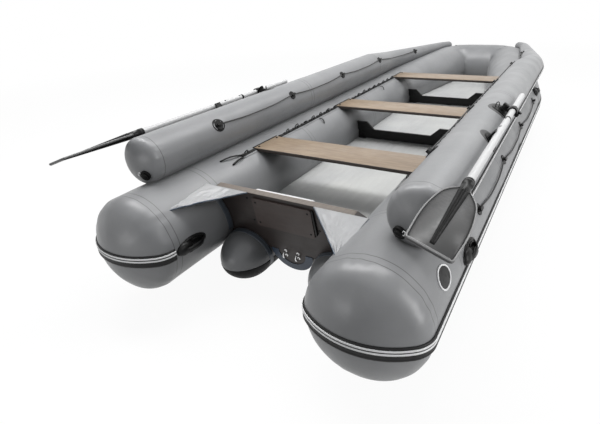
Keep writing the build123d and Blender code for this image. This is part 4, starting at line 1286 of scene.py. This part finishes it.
def make_grips():
    """Three pairs of carrying grips on the main tubes."""
    places = (("stern_grip", -0.062, 0, True), ("side_grip", 0.35, 15, False),
              ("bow_grip", 3.24, 35, False))
    for name, distance, lean, inboard in places:
        def build(distance=distance, lean=lean, inboard=inboard):
            return wrap(moulded_grip(), main_tube_at, distance, lean, inboard)

        on_both_sides(f"{name}_moulding", build, PLASTIC, name, slot="grip_rubber")


def make_badge_rings():
    """Pale rims round the oval badges."""
    def ring():
        mesh = bmesh.new()
        add_bend(mesh, oval(0.0575, 0.0415, 0.0012, 64), 0.0038, 8, closed=True)
        return wrap(mesh, main_tube_at, 0.03, 30)

    on_both_sides("badge_ring", ring, STRIPE)


def make_valves():
    """Caps and tethers on the upper tubes' valves."""
    offset = upper_radius * 0.42
    centre = upper_at(1.0)[0]
    depth = upper_cap * (1 - 2 * 0.42**2) ** 0.5
    slope = Vector((-offset / upper_radius**2, -depth / upper_cap**2, -offset / upper_radius**2))
    seat = Vector((centre.x - offset, station(upper_ends[0]) - depth, centre.z - offset))
    turn = Matrix.Translation(seat) @ slope.to_track_quat("Z", "Y").to_matrix().to_4x4()

    def cap():
        mesh = bmesh.new()
        add_disc(mesh, (0, 0, 0.012), 0.0165, 0.006, 0.0018)
        add_ridges(mesh, 12, 0.0158, 0.011, 0.0172, 0.002)
        add_block(mesh, (0, 0, 0.0185), (0.022, 0.005, 0.005), 0.0015)
        add_ring(mesh, Matrix.Translation((0, 0, 0.008)), 0.0245, 0.0018, steps=32)
        return turned(mesh, turn)

    def tether():
        mesh = bmesh.new()
        points = [(0.020, 0.004, 0.0125), (0.027, 0.007, 0.0175), (0.031, 0.013, 0.0135),
                  (0.030, 0.020, 0.009), (0.024, 0.022, 0.0085), (0.019, 0.015, 0.0115)]
        add_bend(mesh, points, 0.0016, 8)
        return turned(mesh, turn)

    on_both_sides("valve_cap", cap, PLASTIC)
    on_both_sides("valve_tether", tether, STRIPE)


def make_patches():
    """Glued rubber patches on the upper tubes, under the rowlocks, oar clips and aft line holders."""
    def line_patch():
        mesh = bmesh.new()
        add_disc(mesh, (0, 0, -0.001), 0.044, 0.0024, 0.0008, 0.86)
        add_bend(mesh, oval(0.044, 0.038, 0.001, 48), 0.0018, 8, closed=True)
        return wrap(mesh, upper_at, 0.525, 34, inboard=True)

    def rowlock_patches():
        mesh = bmesh.new()
        places = (pin_station, 0.088, 0.80, 58), (clip_station, 0.058, 0.90, 44)
        for distance, reach, squash, lean in places:
            piece = bmesh.new()
            for number in range(12):
                inner, outer = reach * number / 12, reach * (number + 1) / 12
                made = bmesh.ops.create_circle(piece, segments=48, radius=outer)["verts"]
                if number == 0:
                    bmesh.ops.contextual_create(piece, geom=made)
                    continue
                rim = [edge for edge in piece.edges if edge.is_boundary or edge.is_wire]
                bmesh.ops.bridge_loops(piece, edges=rim)
            for vertex in piece.verts:
                vertex.co.y *= squash
                near = min(1.0, (reach - Vector((vertex.co.x, vertex.co.y / squash, 0)).length) / 0.004)
                vertex.co.z = -0.001 + 0.0022 * near
            wrap(piece, upper_at, distance, lean)
            merge(mesh, piece)
        return mesh

    on_both_sides("line_patches", line_patch, RUBBER)
    on_both_sides("rowlock_patches", rowlock_patches, PATCH)


# ---------------------------------------------------------------- rowlocks and oars
pin_lean = radians(54)
pin_up = Vector((cos(pin_lean), 0, sin(pin_lean)))
pin_out = Vector((sin(pin_lean), 0, -cos(pin_lean)))
upper_middle = upper_at(1.0)[0]
pin_seat = Vector((upper_middle.x, station(pin_station), upper_middle.z)) + pin_up * upper_radius
oar_axis = pin_seat + pin_out * 0.044 + pin_up * 0.035


def make_rowlock_fittings():
    """A ridged knob and a wire loop on each rowlock's pin, and the fork's wing bolt."""
    def knob():
        mesh = bmesh.new()
        add_disc(mesh, (0, 0, 0.0375), 0.0165, 0.006, 0.002)
        add_ridges(mesh, 10, 0.0150, 0.029, 0.042, 0.0028)
        turned(mesh, basis(pin_seat, pin_out, FORWARD, pin_up))
        loop = Matrix.Translation(pin_seat - pin_out * 0.036 + pin_up * 0.010)
        loop = loop @ Matrix.Rotation(pi / 2, 4, "Y") @ Matrix.Rotation(0.5, 4, "X")
        add_ring(mesh, loop, 0.015, 0.0026)
        return mesh

    def bolt():
        mesh = bmesh.new()
        place = oar_axis + pin_out * 0.033
        add_rod(mesh, place - pin_up * 0.013, place + pin_up * 0.0125, 0.0048, segments=16)
        top = basis(place + pin_up * 0.0115, pin_out, FORWARD, pin_up)
        wing = bmesh.new()
        add_disc(wing, (0, 0, 0), 0.0115, 0.008, 0.002, segments=7)
        merge(mesh, turned(wing, top))
        return mesh

    on_both_sides("rowlock_knob", knob, PLASTIC)
    on_both_sides("rowlock_bolt", bolt, PLASTIC, body="oar")


def blade_outline(steps=8):
    """Half outline of the blade as (half width, Y), tip first, its corners rounded."""
    corners = [(0.0, -0.33), (0.073, -0.33), (0.085, -0.12), (0.062, 0.045), (0.022, 0.1), (0.0, 0.1)]
    rounding = (0.016, 0.10, 0.05, 0.0)
    points = [corners[0]]
    for number in range(1, 5):
        before, corner, after = (Vector(item) for item in corners[number - 1 : number + 2])
        radius = rounding[number - 1]
        if not radius:
            points.append(tuple(corner))
            continue
        start = corner + (before - corner).normalized() * radius
        end = corner + (after - corner).normalized() * radius
        for step in range(steps + 1):
            share = step / steps
            curve = start * (1 - share) ** 2 + corner * 2 * share * (1 - share) + end * share**2
            points.append(tuple(curve))
    points.append(corners[-1])
    return points


def make_oars():
    """Blades with a raised rim and a grooved rib, sockets and shaft fittings; the rim and tip lip are painted
    paler than the blade as a painted highlight.
    """
    roll = Matrix.Translation((oar_axis.x, 0, oar_axis.z)) @ Matrix.Rotation(oar_roll, 4, "Y")
    half = [(x, station(y)) for x, y in blade_outline()]
    outline = half + [(-x, y) for x, y in reversed(half[1:-1])]

    def plate():
        mesh = bmesh.new()
        verts = [mesh.verts.new((x, y, 0.002)) for x, y in outline]
        face = mesh.faces.new(verts)
        bmesh.ops.inset_region(mesh, faces=[face], thickness=0.006, use_even_offset=True)
        inner = [item for item in mesh.faces if len(item.verts) == len(outline)]
        rim = [item for item in mesh.faces if item not in inner]
        grown = bmesh.ops.extrude_face_region(mesh, geom=rim)["geom"]
        bmesh.ops.translate(mesh, vec=(0, 0, 0.0042), verts=verts_in(grown))
        bmesh.ops.delete(mesh, geom=rim, context="FACES_ONLY")
        flat = inner[0]
        bmesh.ops.inset_region(mesh, faces=[flat], thickness=0.004, use_even_offset=True)
        bmesh.ops.remove_doubles(mesh, verts=mesh.verts, dist=1e-6)
        lower = bmesh.ops.duplicate(mesh, geom=mesh.verts[:] + mesh.edges[:] + mesh.faces[:])["geom"]
        bmesh.ops.scale(mesh, vec=(1, 1, -1), verts=verts_in(lower))
        bmesh.ops.bridge_loops(mesh, edges=open_edges(mesh.edges))
        return turned(mesh, roll)

    def rim():
        mesh = bmesh.new()
        inner = [(x * (1 - 0.0032 / max(abs(x), 0.03)), y) for x, y in outline]
        points = [(x, y + (0.003 if y < station(-0.3) else -0.002), 0.0035) for x, y in inner]
        add_bend(mesh, points, 0.0028, 8, closed=True)
        return turned(mesh, roll)

    def lip():
        mesh = bmesh.new()
        y = station(-0.3255)
        section = [(0.0062, 0.0), (0.0066, 0.0045), (0.0040, 0.0085), (0.0, 0.0095), (-0.0040, 0.0085),
                   (-0.0066, 0.0045), (-0.0062, 0.0)]
        rows = [(Vector((x, y, 0)), UP * scale, FORWARD * scale, Vector((1, 0, 0)))
                for x, scale in ((-0.0665, 0.5), (-0.0645, 0.85), (-0.060, 1.0), (0.060, 1.0),
                                 (0.0645, 0.85), (0.0665, 0.5))]
        add_sweep(mesh, section, rows)
        return turned(mesh, roll)

    def rib():
        mesh = bmesh.new()
        count = 20
        rows = []
        for number in range(count + 1):
            share = number / count
            wide, tall = 0.0085 + 0.0115 * share, 0.0050 + 0.0145 * share
            y = station(-0.294 + 0.378 * share)
            rows.append((Vector((0, y, 0)), Vector((1, 0, 0)) * wide, UP * tall, FORWARD))
        shape = [(-1.0, -0.2), (-0.85, 0.62), (-0.50, 0.86), (-0.26, 0.60), (-0.14, 0.62), (-0.08, 1.0),
                 (0.08, 1.0), (0.14, 0.62), (0.26, 0.60), (0.50, 0.86), (0.85, 0.62), (1.0, -0.2),
                 (0.8, -0.7), (0.3, -0.95), (-0.3, -0.95), (-0.8, -0.7)]
        add_sweep(mesh, shape, rows)
        return turned(mesh, roll)

    def socket():
        mesh = bmesh.new()
        made = bmesh.ops.create_circle(mesh, segments=40, radius=1.0)["verts"]
        steps = [(0.070, 0.012), (0.078, 0.0175), (0.100, 0.0195), (0.150, 0.0198), (0.1505, 0.0212),
                 (0.158, 0.0215), (0.1585, 0.0200), (0.1675, 0.0200), (0.168, 0.0212), (0.1755, 0.0208),
                 (0.176, 0.0165)]
        rows = [(Vector((0, station(y), 0)), Vector((r, 0, 0)), Vector((0, 0, r)), FORWARD)
                for y, r in steps]
        matrices = [basis(*row) for row in rows]
        bmesh.ops.transform(mesh, matrix=matrices[0], verts=made)
        start = list(mesh.edges)
        end = loft(mesh, start, matrices)[0]
        close_pole(mesh, open_edges(start), (0, station(0.069), 0))
        close_pole(mesh, end, (0, station(0.176), 0))
        return turned(mesh, roll)

    def buttons():
        mesh = bmesh.new()
        out = Vector((-0.35, 0, 0.937))
        turn = out.to_track_quat("Z", "Y").to_matrix().to_4x4()
        for distance in (0.868, 1.02):
            place = Vector((oar_axis.x, station(distance), oar_axis.z)) + out * 0.0150
            disc = bmesh.new()
            add_disc(disc, (0, 0, 0), 0.0052, 0.0030, 0.0014, segments=20)
            merge(mesh, turned(disc, Matrix.Translation(place) @ turn))
        collar = bmesh.new()
        ends = [(oar_axis.x, station(distance), oar_axis.z) for distance in (1.04, 1.056)]
        add_rod(collar, *ends, 0.0172, segments=32)
        merge(mesh, collar)
        return mesh

    on_both_sides("oar_blade_plate", plate, BLADE, "oar_blade", body="oar", slot="oar_blade_plastic")
    # the rim and the tip lip carry the pale painted highlight along the blade's edges
    on_both_sides("oar_blade_rim", rim, EDGE_HIGHLIGHT, body="oar")
    on_both_sides("oar_blade_lip", lip, EDGE_HIGHLIGHT, body="oar")
    on_both_sides("oar_blade_rib", rib, BLADE_RIB, body="oar")
    on_both_sides("oar_socket", socket, SOCKET, body="oar")
    on_both_sides("oar_buttons", buttons, PLASTIC, body="oar")


# ---------------------------------------------------------------- the whole boat
make_main_tubes()
make_upper_tubes()
make_keels()
make_keel_shoes()
make_rub_strakes()
make_upper_strake_lines()
make_transom_fittings()
make_collars()
make_gussets()
make_floor()
make_benches()
make_rails()
make_rib_fittings()
make_grips()
make_badge_rings()
make_valves()
make_patches()
make_rowlock_fittings()
make_oars()

for node, material in {
    "hull_bottom": TUBE,
    "transom_board": BOARD,
    "motor_pad_aft": PAD,
    "motor_pad_inner": PALE_PAD,
    "tunnel_cuff": NAVY,
    "tow_rings": CHROME,
    "floor_rib_aft": RIB,
    "floor_rib_forward": RIB,
    "upper_strake": STRAKE,
    "air_valve": PLASTIC,
    "name_badge": BADGE,
    "line_holders": PLASTIC,
    "grab_line_inner": ROPE,
    "grab_line_outer": ROPE,
    "rowlock_base": PLASTIC,
    "rowlock_fork": PLASTIC,
    "oar_clip": PLASTIC,
    "oar_shaft": WHITE,
}.items():
    for full in (node, f"{node}_port", f"{node}_starboard"):
        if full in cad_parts:
            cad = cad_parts[full]
            cad.data.materials.clear()
            cad.data.materials.append(material)
